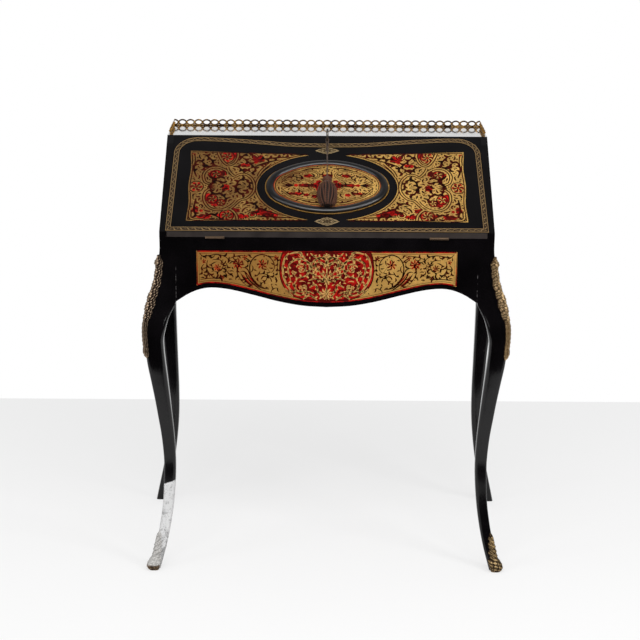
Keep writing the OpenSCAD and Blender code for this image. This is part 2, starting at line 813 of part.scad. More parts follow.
cover_z = joint_h + cover_gap;
module well_cover() {
  color(rosewood) desk() difference() {
    translate([-cover_x, cover_front, cover_z])
      cube([2 * cover_x, well_l + 2 * well_t + cover_lap, cover_t]);
    at_pull() cylinder(r = pull_r, h = pull_t + over);
  }
}

// Places what is drawn upwards on the floor of the cover's recess
module at_pull() {
  translate([0, cover_front + 3 * pull_r, cover_z + cover_t - pull_t]) children();
}

// A dished finger pull let in flush with the cover
module well_pull() {
  dish_r = 1.6 * pull_r;
  dish_share = 0.6;
  color(brass) desk() at_pull() difference() {
    cylinder(r = pull_r, h = pull_t);
    translate([0, 0, (1 - dish_share) * pull_t + dish_r]) sphere(r = dish_r);
  }
}

// Hinges

leaf_depth_case = 16;
leaf_depth_fall = inner_foot_y - 1.5;
knuckle_count = 5;
knuckle_gap = 0.1;

// Knuckles of one leaf of a hinge, by the parity of their place
module knuckles(parity, low, depth) {
  pitch = hinge_w / knuckle_count;
  for (side = [-1, 1]) translate([side * hinge_x - hinge_w / 2, 0, 0]) difference() {
    union() {
      translate([0, 0, low]) cube([hinge_w, depth, leaf_t]);
      for (i = [parity : 2 : knuckle_count - 1]) {
        translate([i * pitch + knuckle_gap, hinge_y, hinge_z]) rotate([0, 90, 0])
          cylinder(r = knuckle_r, h = pitch - 2 * knuckle_gap);
        translate([i * pitch + knuckle_gap, hinge_y, low])
          cube([pitch - 2 * knuckle_gap, -hinge_y + 1, leaf_t]);
      }
    }
    translate([-over, hinge_y, hinge_z]) rotate([0, 90, 0])
      cylinder(r = pin_r + turn_gap, h = hinge_w + 2 * over);
  }
}

module hinge_case_leaves() {
  color(brass) desk() knuckles(0, joint_h - leaf_t, leaf_depth_case);
}

module hinge_fall_leaves() {
  color(brass) desk() knuckles(1, joint_h + fall_gap, leaf_depth_fall);
}

module hinge_pins() {
  color(brass) desk() for (side = [-1, 1])
    translate([side * hinge_x - hinge_w / 2, hinge_y, hinge_z]) rotate([0, 90, 0])
      cylinder(r = pin_r, h = hinge_w);
}

// Fall

module fall_board() {
  foot_s = (fall_t * cos(slope) - fall_lip) / sin(slope);
  color(lacquer) desk() difference() {
    on_fall() along_x(-inner_x + fall_gap, inner_x - fall_gap)
      polygon([[0, 0], [-fall_lip * sin(slope), -fall_lip * cos(slope)], [foot_s, -fall_t],
        [fall_end, -fall_t], [fall_end, 0]]);
    for (side = [-1, 1])
      translate([side * hinge_x - hinge_w / 2, -over, joint_h + fall_gap - over])
        cube([hinge_w, leaf_depth_fall + over, leaf_t + over]);
    for (side = [0, 1])
      fall_plate(-inlay_in, over) mirror([side, 0]) polygon(panel_outline(inlay_gap));
    fall_plate(-inlay_in, over) diamond(key_s, key_diamond_y, inlay_gap);
    fall_plate(-inlay_in, over) diamond(lower_up, diamond_y, inlay_gap);
    fall_plate(-fall_t - over, -fall_t + leather_t) square_from(leather_x, leather_low, leather_high);
    on_fall() translate([-lock_x, key_s - lock_below, -fall_t - over])
      cube([2 * lock_x, fall_end - key_s + lock_below + over, lock_t + over]);
    fall_plate(-fall_t, over) keyhole_shape();
  }
}

leather_x = 290;
leather_low = 34;
leather_high = key_s - lock_below - 14;
leather_t = 1;
leather_gap = 0.2;
// A rectangle on the fall between two places up the slope
module square_from(x, low, high) {
  translate([-x, low]) square([2 * x, high - low]);
}

module writing_leather() {
  color(hide) desk() fall_plate(-fall_t + leather_gap, -fall_t + leather_t)
    square_from(leather_x - leather_gap, leather_low + leather_gap, leather_high - leather_gap);
}

module fall_border() {
  color(brass) desk() fall_plate(0, border_t) difference() {
    polygon(mirrored(half_border(0)));
    polygon(mirrored(half_border(border_w)));
  }
}

module marquetry_panel(side) {
  color(inlay) desk() fall_plate(-inlay_in, inlay_proud)
    mirror([side < 0 ? 1 : 0, 0]) polygon(panel_outline(0));
}

module left_marquetry() { marquetry_panel(-1); }
module right_marquetry() { marquetry_panel(1); }

// A diamond ornament with its long way across, of a half height, grown by a margin
module diamond(s, half, grow) {
  wide = diamond_x + 2 * grow;
  translate([0, s]) polygon([[wide, 0], [0, half + grow], [-wide, 0], [0, -half - grow]]);
}

// The slot that lets the key's bit through
module bit_slot() {
  translate([-bit_t / 2 - slide_gap, key_s - bit_r - slide_gap])
    square([bit_t + 2 * slide_gap, bit_r]);
}

// The keyhole: a round eye for the shank over the slot for the bit
module keyhole_shape() {
  translate([0, key_s]) circle(r = shank_r + bit_room);
  bit_slot();
}

module escutcheon() {
  color(brass) desk() fall_plate(-inlay_in, inlay_proud) difference() {
    diamond(key_s, key_diamond_y, 0);
    keyhole_shape();
  }
}

module lower_ornament() {
  color(brass) desk() fall_plate(-inlay_in, inlay_proud)
    diamond(lower_up, diamond_y, 0);
}

// Outline of the four-centred oval, at an inset from its outer line
oval_steps = 24;
function oval_arc(centre, r, from, to) =
  [for (i = [0 : oval_steps - 1]) let (a = from + (to - from) * i / oval_steps)
    centre + r * [cos(a), sin(a)]];
function oval_line(inset) =
  let (end_r = oval_end_r - inset, top_r = oval_top_r - inset, a = oval_join)
  concat(
    oval_arc([oval_end_x, 0], end_r, -a, a),
    oval_arc([0, oval_top_y], top_r, a, 180 - a),
    oval_arc([-oval_end_x, 0], end_r, 180 - a, 180 + a),
    oval_arc([0, -oval_top_y], top_r, 180 + a, 360 - a)
  );

// Sweeps a section round the oval in four pieces with mitred joints, the section drawn
// inwards from the oval's outer line
mitre_cut = 0.02; // degrees
module oval_sweep() {
  on_fall() translate([0, oval_up, 0]) for (turn = [0, 180]) rotate([0, 0, turn]) {
    translate([oval_end_x, 0, 0]) rotate([0, 0, mitre_cut - oval_join])
      rotate_extrude(angle = 2 * (oval_join - mitre_cut)) translate([oval_end_r, 0]) children();
    translate([0, oval_top_y, 0]) rotate([0, 0, oval_join])
      rotate_extrude(angle = 180 - 2 * oval_join) translate([oval_top_r, 0]) children();
  }
}

module oval_marquetry() {
  color(inlay) desk() fall_plate(0, oval_plate_t)
    translate([0, oval_up]) polygon(oval_line(moulding_in));
}

// Section of the black moulding: a round crown on a low upright edge
moulding_edge = 2.4;
crown_steps = 10;
module moulding_section() {
  half = moulding_w / 2;
  polygon(concat([[-bead_d, 0]],
    [for (i = [0 : crown_steps]) let (a = 180 * i / crown_steps)
      [-bead_d - half + half * cos(a), moulding_edge + (moulding_h - moulding_edge) * sin(a)]],
    [[-moulding_in, 0]]));
}

module oval_moulding() {
  color(lacquer) desk() oval_sweep() moulding_section();
}

module oval_bead() {
  color(brass) desk() oval_sweep() intersection() {
    translate([-bead_d, 0]) square([bead_d, bead_d]);
    translate([-bead_d / 2, bead_d / 4]) circle(d = bead_d);
  }
}

// Lock

module lock_case() {
  fit = 0.1;
  low = -fall_t;
  high = -fall_t + lock_t - fit;
  color(brass) desk() difference() {
    on_fall() translate([-lock_x + fit, key_s - lock_below + fit, low])
      cube([2 * (lock_x - fit), fall_end - key_s + lock_below - fit, high - low]);
    bolt_room();
    on_fall() translate([0, key_s, bolt_n - slide_gap])
      cylinder(r = bit_r + bit_room, h = bolt_t + 2 * slide_gap);
    on_fall() translate([0, key_s, bolt_n - slide_gap])
      cylinder(r = shank_r + turn_gap, h = lock_t);
    fall_plate(bolt_n + bolt_t, 0) bit_slot();
  }
}

// The slot in the lock case that the bolt slides in
module bolt_room() {
  on_fall() translate([-bolt_w / 2 - slide_gap, key_s + bit_r / 2, bolt_n - slide_gap])
    cube([bolt_w + 2 * slide_gap, fall_end, bolt_t + 2 * slide_gap]);
}

module lock_bolt() {
  low = key_s + bit_r + bit_room + slide_gap;
  color(steel) desk() on_fall() translate([-bolt_w / 2, low, bolt_n])
    cube([bolt_w, fall_end - bolt_rest - low, bolt_t]);
}

// The key stands square to the fall with its ring in the upright plane
collar_r = 3.7;
collar_h = 2.4;
module key() {
  shank_low = bolt_n;
  ring_low = bow_up - bow_r;
  color(steel) desk() on_fall() translate([0, key_s, 0]) {
    translate([0, 0, shank_low]) cylinder(r = shank_r, h = ring_low - shank_low);
    translate([-bit_t / 2, -bit_r, shank_low]) cube([bit_t, bit_r, bolt_t - slide_gap]);
    for (low = [inlay_proud, ring_low - 3 * collar_h])
      translate([0, 0, low]) cylinder(r = collar_r, h = collar_h);
    translate([0, 0, bow_up]) rotate([0, 90, 0])
      rotate_extrude() translate([bow_r, 0]) circle(r = bow_wire_r);
  }
}

// Tassel, in the plane square to X through the key, from the key's eye

eye = [key_s, bow_up];
head_top = [tassel_s, tassel_n];
cord_way = (head_top - eye) / norm(head_top - eye);
rim = eye + bow_r * cord_way;

// The cord's route: up from the head on one side, round the ring of the key, and down again
cord_neck = 14;
cord_in = 2; // how far the cord's ends run into the head
turn_points = 8;
function on_way(along, x) =
  let (p = rim + along * cord_way) [x, p[0], p[1]];
cord_run = norm(head_top - rim);
cord_route = concat(
  [on_way(cord_run + cord_in, -eye_side), on_way(cord_run * 0.75, -eye_side),
   on_way(cord_run * 0.5, -eye_side), on_way(cord_run * 0.3, -eye_side),
   on_way(cord_neck, -eye_side - 0.5), on_way(cord_neck * 0.6, -rim_side * 0.7)],
  [for (i = [0 : turn_points]) let (a = 180 * i / turn_points)
    on_way(-rim_side * sin(a), -rim_side * cos(a))],
  [on_way(cord_neck * 0.6, rim_side * 0.7), on_way(cord_neck, eye_side + 0.5),
   on_way(cord_run * 0.3, eye_side), on_way(cord_run * 0.5, eye_side),
   on_way(cord_run * 0.75, eye_side), on_way(cord_run + cord_in, eye_side)]
);

// A tube of straight sides swept along a route
function unit(v) = v / norm(v);
function route_dir(route, i) =
  unit(route[min(i + 1, len(route) - 1)] - route[max(i - 1, 0)]);
function tube_ring(centre, dir, r) =
  let (side = unit(cross(dir, tube_up)), up = cross(side, dir))
  [for (j = [0 : cord_sides - 1]) let (a = 360 * j / cord_sides)
    centre + r * (side * cos(a) + up * sin(a))];
tube_up = [0, cord_way[1], -cord_way[0]];

module tassel_cord() {
  color(silk) desk() on_fall()
    loft([for (i = [0 : len(cord_route) - 1])
      tube_ring(cord_route[i], route_dir(cord_route, i), cord_d / 2)]);
}

// Places what is drawn along Z at the tassel's head, pointing down the slope
module at_tassel() {
  desk() on_fall() translate([0, tassel_s, tassel_n]) rotate([90 - tassel_lift, 0, 0])
    children();
}

module tassel_head() {
  color(silk) at_tassel() rotate_extrude()
    polygon([[0, 0], [0.25 * head_r, 0], [0.55 * head_r, 0.1 * head_l],
      [0.85 * head_r, 0.3 * head_l], [head_r, 0.55 * head_l], [0.95 * head_r, 0.8 * head_l],
      [0.8 * head_r, head_l], [0, head_l]]);
}

module tassel_skirt() {
  steps = 14;
  shape = [[0, 0.38], [0.12, 0.62], [0.3, 0.92], [0.45, 1], [0.7, 0.95], [0.88, 0.82], [1, 0.68]];
  color(silk) at_tassel() translate([0, 0, head_l]) rotate_extrude()
    polygon(concat([[0, 0]],
      [for (i = [0 : steps]) let (t = i / steps) [skirt_r * curve(shape, t), skirt_l * t]],
      [[0, skirt_l]]));
}

// Stays

// Works in the plane square to the hinge axis, from the hinge axis, along X
module from_hinge(x) {
  desk() translate([x, hinge_y, hinge_z]) rotate([90, 0, 90]) children();
}

// A flat bar with round ends between two points
module bar_shape(a, b) {
  way = b - a;
  for (p = [a, b]) translate(p) circle(d = stay_w);
  translate(a) rotate(atan2(way[1], way[0])) translate([0, -stay_w / 2])
    square([norm(way), stay_w]);
}

module both_sides(side) {
  mirror([side < 0 ? 1 : 0, 0, 0]) children();
}

module stay_wall_plates() {
  head_x = wall_arm_x - arm_gap - rivet_t;
  color(brass) for (side = [-1, 1]) both_sides(side) {
    from_hinge(inner_x - plate_t) translate(wall_pivot)
      cylinder(r = stay_plate_r, h = plate_t);
    from_hinge(head_x) translate(wall_pivot)
      cylinder(r = stay_pin_r, h = inner_x - plate_t / 2 - head_x);
    from_hinge(head_x) translate(wall_pivot) cylinder(r = rivet_r, h = rivet_t);
  }
}

module wall_stay(side) {
  color(brass) both_sides(side) {
    difference() {
      from_hinge(wall_arm_x) linear_extrude(stay_t) bar_shape(wall_pivot, elbow);
      from_hinge(wall_arm_x - over) translate(wall_pivot)
        cylinder(r = stay_pin_r + turn_gap, h = stay_t + 2 * over);
    }
    from_hinge(wall_arm_x - elbow_gap + arm_gap) translate(elbow)
      cylinder(r = stay_pin_r, h = elbow_gap);
  }
}

module fall_stay(side) {
  color(brass) both_sides(side) difference() {
    from_hinge(fall_arm_x) linear_extrude(stay_t) bar_shape(fall_pivot, elbow);
    from_hinge(fall_arm_x - over) translate(fall_pivot)
      cylinder(r = stay_pin_r + turn_gap, h = stay_t + 2 * over);
  }
}

module left_wall_stay() { wall_stay(-1); }
module right_wall_stay() { wall_stay(1); }
module left_fall_stay() { fall_stay(-1); }
module right_fall_stay() { fall_stay(1); }

// Lugs on the inner face of the fall, with the pivots of the stays
module stay_fall_lugs() {
  foot_l = 28;
  foot_w = 9;
  pivot_s = stay_reach + hinge_y * cos(slope) - (lip_h - hinge_z) * sin(slope);
  color(brass) for (side = [-1, 1]) both_sides(side) {
    desk() on_fall() translate([ear_x - foot_w, pivot_s - foot_l / 2, -fall_t - plate_t])
      cube([foot_w + ear_t, foot_l, plate_t]);
    desk() on_fall() along_x(ear_x, ear_x + ear_t) {
      translate([pivot_s, -fall_t - lug_drop]) circle(r = ear_r);
      translate([pivot_s - ear_r, -fall_t - lug_drop]) square([2 * ear_r, lug_drop]);
    }
    from_hinge(ear_x + ear_t / 2) translate(fall_pivot)
      cylinder(r = stay_pin_r, h = ear_t / 2 + stay_t + 2 * arm_gap + rivet_t);
    from_hinge(fall_arm_x + stay_t + arm_gap) translate(fall_pivot)
      cylinder(r = rivet_r, h = rivet_t);
  }
}

left_front_leg();
right_front_leg();
left_back_leg();
right_back_leg();
front_apron();
back_apron();
left_apron();
right_apron();
left_knee_mount();
right_knee_mount();
left_sabot();
right_sabot();
apron_marquetry();
well_box();
left_side_panel();
right_side_panel();
back_panel();
top_board();
writing_board();
back_gallery();
left_gallery();
right_gallery();
fitting_bottom();
fitting_shelf();
drawer_dividers();
pigeonhole_dividers();
strike_plate();
hinge_case_leaves();
hinge_pins();
stay_wall_plates();
fall_board();
fall_border();
left_marquetry();
right_marquetry();
oval_marquetry();
oval_moulding();
oval_bead();
escutcheon();
lower_ornament();
writing_leather();
lock_case();
hinge_fall_leaves();
stay_fall_lugs();
lock_bolt();
key();
tassel_cord();
tassel_head();
tassel_skirt();
left_wall_stay();
right_wall_stay();
left_fall_stay();
right_fall_stay();
well_cover();
well_pull();
left_drawer();
middle_drawer();
right_drawer();
left_drawer_knob();
middle_drawer_knob();
right_drawer_knob();
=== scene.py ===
"""Slant-front writing desk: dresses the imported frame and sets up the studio.

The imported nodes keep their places. Legs, mounts, inlay, gallery, tassel and the rest of the
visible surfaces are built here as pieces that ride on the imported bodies.
"""

from __future__ import annotations

import json
import logging
import math
import random
from dataclasses import dataclass, field
from enum import Enum
from functools import cached_property
from itertools import product
from typing import Callable, Iterable, Sequence

import bpy
from mathutils import Matrix, Vector

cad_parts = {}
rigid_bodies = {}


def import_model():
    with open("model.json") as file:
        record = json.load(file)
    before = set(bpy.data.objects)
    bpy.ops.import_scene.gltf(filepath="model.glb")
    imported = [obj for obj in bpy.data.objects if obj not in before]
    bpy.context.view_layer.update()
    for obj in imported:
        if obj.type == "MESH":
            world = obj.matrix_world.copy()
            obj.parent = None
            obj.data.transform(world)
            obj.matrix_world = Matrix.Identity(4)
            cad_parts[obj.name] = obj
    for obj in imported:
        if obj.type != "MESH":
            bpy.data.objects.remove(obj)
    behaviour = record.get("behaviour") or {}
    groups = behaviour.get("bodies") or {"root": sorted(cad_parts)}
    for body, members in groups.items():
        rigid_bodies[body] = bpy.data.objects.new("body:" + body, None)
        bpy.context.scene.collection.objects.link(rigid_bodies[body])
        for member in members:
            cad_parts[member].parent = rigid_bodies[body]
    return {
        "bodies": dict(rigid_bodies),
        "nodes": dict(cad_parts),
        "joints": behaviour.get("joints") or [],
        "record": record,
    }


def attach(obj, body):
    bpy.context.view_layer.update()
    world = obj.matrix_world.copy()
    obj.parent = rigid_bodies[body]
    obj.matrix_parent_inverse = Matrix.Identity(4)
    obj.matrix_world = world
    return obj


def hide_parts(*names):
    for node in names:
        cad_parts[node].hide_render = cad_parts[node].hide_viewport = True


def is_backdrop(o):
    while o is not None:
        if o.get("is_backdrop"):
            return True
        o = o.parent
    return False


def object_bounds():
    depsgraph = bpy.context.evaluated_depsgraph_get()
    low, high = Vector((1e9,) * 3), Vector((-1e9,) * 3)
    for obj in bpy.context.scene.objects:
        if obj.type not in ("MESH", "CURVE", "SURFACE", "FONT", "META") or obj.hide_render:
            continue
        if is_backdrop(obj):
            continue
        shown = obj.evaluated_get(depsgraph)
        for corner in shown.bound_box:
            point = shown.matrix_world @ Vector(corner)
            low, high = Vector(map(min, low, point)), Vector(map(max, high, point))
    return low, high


LOG = logging.getLogger("desk")
MM = 0.001
SIDES = (-1, 1)
Point2 = tuple[float, float]
Point3 = tuple[float, float, float]
Point = Sequence[float]
Put = Callable[[float, float, float], Vector]
Socket = bpy.types.NodeSocket


class Body(Enum):
    """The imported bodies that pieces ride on."""

    FRAME = "frame"
    FALL = "fall"
    TASSEL = "tassel"


class Slot(Enum):
    """The record's material slots; each piece names one, but nothing reads it."""

    LACQUER = "lacquer"
    BRONZE = "gilt_bronze"
    BRASS = "brass"
    MARQUETRY = "marquetry"
    ROSEWOOD = "rosewood"
    SILK = "silk"


# Shader expressions


class Value:
    """A shader socket that Python operators extend with Math nodes."""

    def __init__(self, shader: Shader, link: Socket) -> None:
        """Wraps an output socket of a shader."""
        self.shader = shader
        self.link = link

    def __add__(self, other: Value | float) -> Value:
        """Sum."""
        return self.shader.math("ADD", self, other)

    def __sub__(self, other: Value | float) -> Value:
        """Difference."""
        return self.shader.math("SUBTRACT", self, other)

    def __rsub__(self, other: Value | float) -> Value:
        """Difference from a number."""
        return self.shader.math("SUBTRACT", other, self)

    def __mul__(self, other: Value | float) -> Value:
        """Product."""
        return self.shader.math("MULTIPLY", self, other)

    def __pow__(self, other: Value | float) -> Value:
        """Power."""
        return self.shader.math("POWER", self, other)

    __radd__ = __add__
    __rmul__ = __mul__

    def clamped(self) -> Value:
        """The value held between 0 and 1."""
        return Value(self.shader, self.shader.node("ShaderNodeClamp", {}, {"Value": self}).outputs[0])

    def over(self, low: float, high: float) -> Value:
        """The value's place between two limits, from 0 to 1, with a smooth start and end.

        Args:
            low: The limit that gives 0.
            high: The limit that gives 1.

        Returns:
            The place.
        """
        node = self.shader.node(
            "ShaderNodeMapRange",
            {"interpolation_type": "SMOOTHSTEP"},
            {"Value": self, "From Min": low, "From Max": high, "To Min": 0.0, "To Max": 1.0},
        )
        return Value(self.shader, node.outputs[0])


class Shader:
    """The node tree of a material or a world, with one method that makes any node."""

    def __init__(self, name: str, is_world: bool = False) -> None:
        """Starts an empty tree.

        Args:
            name: The name of the material or the world.
            is_world: Whether it is a world.
        """
        self.owner = (bpy.data.worlds if is_world else bpy.data.materials).new(name)
        self.owner.use_nodes = True
        self.tree = self.owner.node_tree
        self.tree.nodes.clear()

    def node(self, kind: str, settings: dict, inputs: dict) -> bpy.types.Node:
        """Makes a node, sets its settings and then its sockets.

        Args:
            kind: The node's type.
            settings: Its properties by name.
            inputs: Numbers, colours, sockets or Values by socket name or number.

        Returns:
            The node.
        """
        made = self.tree.nodes.new(kind)
        for key, value in settings.items():
            setattr(made, key, value)
        for key, value in inputs.items():
            socket = made.inputs[key]
            value = value.link if isinstance(value, Value) else value
            if isinstance(value, Socket):
                self.tree.links.new(value, socket)
            elif socket.type == "RGBA":
                socket.default_value = (*value, 1.0)
            else:
                socket.default_value = value
        return made

    def math(self, operation: str, *values: Value | float) -> Value:
        """A Math node on values or numbers."""
        node = self.node("ShaderNodeMath", {"operation": operation}, dict(enumerate(values)))
        return Value(self, node.outputs[0])

    def mix(self, factor: Value | float, first: Socket | Point3, second: Socket | Point3) -> Socket:
        """Mixes two colours: a factor of 0 gives the first, 1 the second."""
        sockets = {0: factor, 6: first, 7: second}
        return self.node("ShaderNodeMix", {"data_type": "RGBA"}, sockets).outputs[2]

    def place(self) -> Socket:
        """Object coordinates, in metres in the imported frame."""
        return self.node("ShaderNodeTexCoord", {}, {}).outputs["Object"]

    def scaled(self, scale: Point3, turn: Point3 = (0.0, 0.0, 0.0)) -> Socket:
        """Object coordinates turned by angles in radians and scaled along each axis."""
        sockets = {"Vector": self.place(), "Scale": scale, "Rotation": turn}
        return self.node("ShaderNodeMapping", {}, sockets).outputs[0]

    def noise(
        self, scale: float, detail: float = 3.0, rough: float = 0.5, vector: Socket | None = None,
        distortion: float = 0.0,
    ) -> Value:
        """Noise from 0 to 1 at a number of features per metre.

        Args:
            scale: Features per metre.
            detail: Octaves.
            rough: Share of the fine octaves.
            vector: Where to read it; the object coordinates if none is given.
            distortion: How far it is swirled.

        Returns:
            The noise.
        """
        sockets = {
            "Vector": vector or self.place(), "Scale": scale, "Detail": detail,
            "Roughness": rough, "Distortion": distortion,
        }
        return Value(self, self.node("ShaderNodeTexNoise", {}, sockets).outputs[0])

    def cells(self, scale: float) -> Value:
        """Distance to the nearest of scattered points."""
        node = self.node("ShaderNodeTexVoronoi", {}, {"Vector": self.place(), "Scale": scale})
        return Value(self, node.outputs["Distance"])

    def axis(self, index: int, vector: Socket | None = None) -> Value:
        """One number of a vector, of the object coordinates if none is given."""
        node = self.node("ShaderNodeSeparateXYZ", {}, {0: vector or self.place()})
        return Value(self, node.outputs[index])

    def given(self, kind: str, output: str, **settings: str) -> Value:
        """An output of a node without inputs."""
        return Value(self, self.node(kind, settings, {}).outputs[output])

    def rays(self) -> list[Value]:
        """Whether a ray comes from the camera, through glass or off a shiny face.

        Returns:
            The three answers in this order.
        """
        rays = self.node("ShaderNodeLightPath", {}, {}).outputs
        kinds = ("Is Camera Ray", "Is Transmission Ray", "Is Glossy Ray")
        return [Value(self, rays[kind]) for kind in kinds]

    def bump(self, height: Value, depth: float, strength: float = 1.0) -> Socket:
        """A normal from a height that runs from 0 to 1."""
        sockets = {"Height": height, "Distance": depth, "Strength": strength}
        return self.node("ShaderNodeBump", {}, sockets).outputs[0]

    def finish(self, sockets: dict) -> bpy.types.Material:
        """Ends the tree in one Principled shader with these sockets and gives the material.

        Args:
            sockets: Values by socket name.

        Returns:
            The material.
        """
        shader = self.node("ShaderNodeBsdfPrincipled", {}, sockets)
        self.node("ShaderNodeOutputMaterial", {}, {0: shader.outputs[0]})
        return self.owner


# Finishes


@dataclass(frozen=True)
class Lacquer:
    """Black polished lacquer with fine hazing and a few pale scratches."""

    name: str = "black_lacquer"
    coat: float = 0.0
    shine: float = 0.36
    gloss: float = 0.085
    colour: Point3 = (0.0014, 0.0011, 0.0014)
    haze: Point3 = (0.0042, 0.0034, 0.0042)
    scratch: Point3 = (0.16, 0.15, 0.15)
    seam_x: float = 0.3162

    def ground(self, shader: Shader) -> tuple[Socket, Value]:
        """Colour socket and roughness of the lacquer.

        Args:
            shader: The material's node tree.

        Returns:
            The colour and the roughness.
        """
        haze = shader.noise(9.0, 4.0, 0.6)
        fine = shader.noise(240.0, 3.0, 0.6)
        streak = shader.noise(60.0, 2.0, 0.5, shader.scaled((1.0, 1.0, 14.0), (0.4, 0.9, 0.2)))
        marks = streak.over(0.74, 0.78) * haze.over(0.52, 0.7)
        colour = shader.mix(haze.over(0.3, 0.8), self.colour, self.haze)
        colour = shader.mix((marks * 0.35 + self.seam(shader)).clamped(), colour, self.scratch)
        return colour, self.gloss + 0.07 * haze + 0.05 * fine + 0.25 * marks

    def seam(self, shader: Shader) -> Value:
        """Share of the pale flecks where the front legs meet the apron.

        Args:
            shader: The material's node tree.

        Returns:
            The share.
        """
        across = shader.math("ABSOLUTE", shader.axis(0))
        line = 1.0 - shader.math("ABSOLUTE", across - self.seam_x).over(0.0002, 0.0009)
        height = shader.axis(2)
        reach = height.over(0.594, 0.6) * (1.0 - height.over(0.655, 0.668))
        front = 1.0 - shader.axis(1).over(-0.2, -0.19)
        return line * reach * front * shader.noise(150.0, 3.0, 0.6).over(0.47, 0.6) * 0.6

    def build(self) -> bpy.types.Material:
        """Makes the material; only faces that look up have the coat.

        Returns:
            The material.
        """
        shader = Shader(self.name)
        colour, rough = self.ground(shader)
        normal = shader.node("ShaderNodeNewGeometry", {}, {}).outputs["True Normal"]
        upward = shader.axis(2, normal).over(0.8, 0.95)
        return shader.finish(
            {
                "Base Color": colour,
                "Roughness": rough,
                "IOR": 1.5,
                "Specular IOR Level": self.shine,
                "Coat Weight": self.coat * upward,
                "Coat Roughness": 0.05,
                "Coat IOR": 1.6,
                "Normal": shader.bump(shader.noise(28.0, 2.0, 0.4), 0.0004, 0.25),
            }
        )


@dataclass(frozen=True)
class LippedLacquer(Lacquer):
    """Lacquer that is rubbed grey-brown on the low front edge of the fall."""

    name: str = "lipped_lacquer"
    rubbed: Point3 = (0.040, 0.032, 0.029)
    lip_top: float = 0.7404

    def ground(self, shader: Shader) -> tuple[Socket, Value]:
        """Colour socket and roughness, with the rubbed lip.

        Args:
            shader: The material's node tree.

        Returns:
            The colour and the roughness.
        """
        colour, rough = super().ground(shader)
        lip = 1.0 - shader.axis(2).over(self.lip_top, self.lip_top + 0.0006)
        patch = shader.noise(30.0, 3.0, 0.6).over(0.2, 0.7) * 0.5 + 0.5
        return shader.mix(lip * patch, colour, self.rubbed), rough + 0.2 * lip


@dataclass(frozen=True)
class WornLacquer(Lacquer):
    """Lacquer whose lower end has lost its black and shows a chalky white ground."""

    name: str = "worn_lacquer"
    chalk: Point3 = (0.68, 0.68, 0.68)
    speck: Point3 = (0.22, 0.22, 0.22)
    worn_below: float = 0.186
    corner_x: float = 0.345
    lean: float = 0.35

    def build(self) -> bpy.types.Material:
        """Makes the material.

        Returns:
            The material.
        """
        shader = Shader(self.name)
        colour, rough = self.ground(shader)
        height = shader.axis(2)
        slant = (shader.axis(0) + self.corner_x) * self.lean
        edge = height - slant + 0.005 * shader.noise(55.0, 4.0, 0.65) - 0.003
        worn = 1.0 - edge.over(self.worn_below - 0.0015, self.worn_below + 0.0015)
        low = 1.0 - height.over(0.03, 0.12)
        blots = (shader.noise(75.0, 5.0, 0.7, distortion=0.8) + 0.1 * low).over(0.5, 0.66)
        specks = (shader.noise(300.0, 3.0, 0.7) + 0.09 * low).over(0.55, 0.68)
        chalk = shader.mix((blots * 0.62 + specks * 0.55).clamped(), self.chalk, self.speck)
        chips = shader.noise(130.0, 4.0, 0.6).over(0.7, 0.73) * 0.6
        mask = (worn + chips * (1.0 - height.over(0.18, 0.42))).clamped()
        return shader.finish(
            {
                "Base Color": shader.mix(mask, colour, chalk),
                "Roughness": rough + 0.55 * mask,
                "IOR": 1.5,
                "Specular IOR Level": self.shine,
                "Normal": shader.bump(shader.noise(300.0, 4.0, 0.7) * mask, 0.0006, 0.6),
            }
        )


@dataclass(frozen=True)
class Metal:
    """A worked metal: a bright colour on high places and a dark one in the hollows."""

    name: str
    bright: Point3
    dark: Point3
    patina: float = 0.7
    rough: float = 0.36
    grain: float = 300.0
    relief: float = 0.0004
    metallic: float = 1.0
    is_chased: bool = False
    chalk_above: float = 9.0
    chalk: Point3 = (0.6, 0.59, 0.57)
    speck: Point3 = (0.16, 0.15, 0.14)

    def build(self) -> bpy.types.Material:
        """Makes the material; a chased one is bright where its mesh says that it stands high and dark where
        it lies low, partly real dirt in the hollows and partly painted highlight and painted shade.

        Returns:
            The material.
        """
        shader = Shader(self.name)
        tarnish = shader.noise(45.0, 4.0, 0.6)
        fine = shader.noise(self.grain * 4, 3.0, 0.6)
        hollow = shader.cells(self.grain).over(0.1, 0.75)
        mask = tarnish.over(0.35, 0.7) * self.patina + hollow * self.patina * 0.7
        # High chasing takes the bright colour and low chasing the dark one: partly real dirt in the hollows,
        # partly painted highlight on the raised relief and painted shade in its hollows.
        if self.is_chased:
            chasing = shader.given("ShaderNodeAttribute", "Fac", attribute_name=Surface.CHASING)
            mask = mask * 0.5 + 1.0 - chasing.over(0.3, 0.75)
        mask = mask.clamped()
        worn = shader.given("ShaderNodeNewGeometry", "Pointiness").over(0.5, 0.56)
        colour = shader.mix(mask * (1.0 - worn * 0.8), self.bright, self.dark)
        rise = shader.axis(2) + 0.008 * tarnish - 0.004
        chalk = rise.over(self.chalk_above - 0.002, self.chalk_above + 0.002)
        specks = (hollow * 0.5 + fine.over(0.5, 0.65) * 0.5).clamped()
        return shader.finish(
            {
                "Base Color": shader.mix(chalk, colour, shader.mix(specks, self.chalk, self.speck)),
                "Metallic": self.metallic * (1.0 - chalk),
                "Roughness": self.rough + 0.22 * mask + 0.08 * fine,
                "Normal": shader.bump(fine + hollow, self.relief, 0.5),
            }
        )


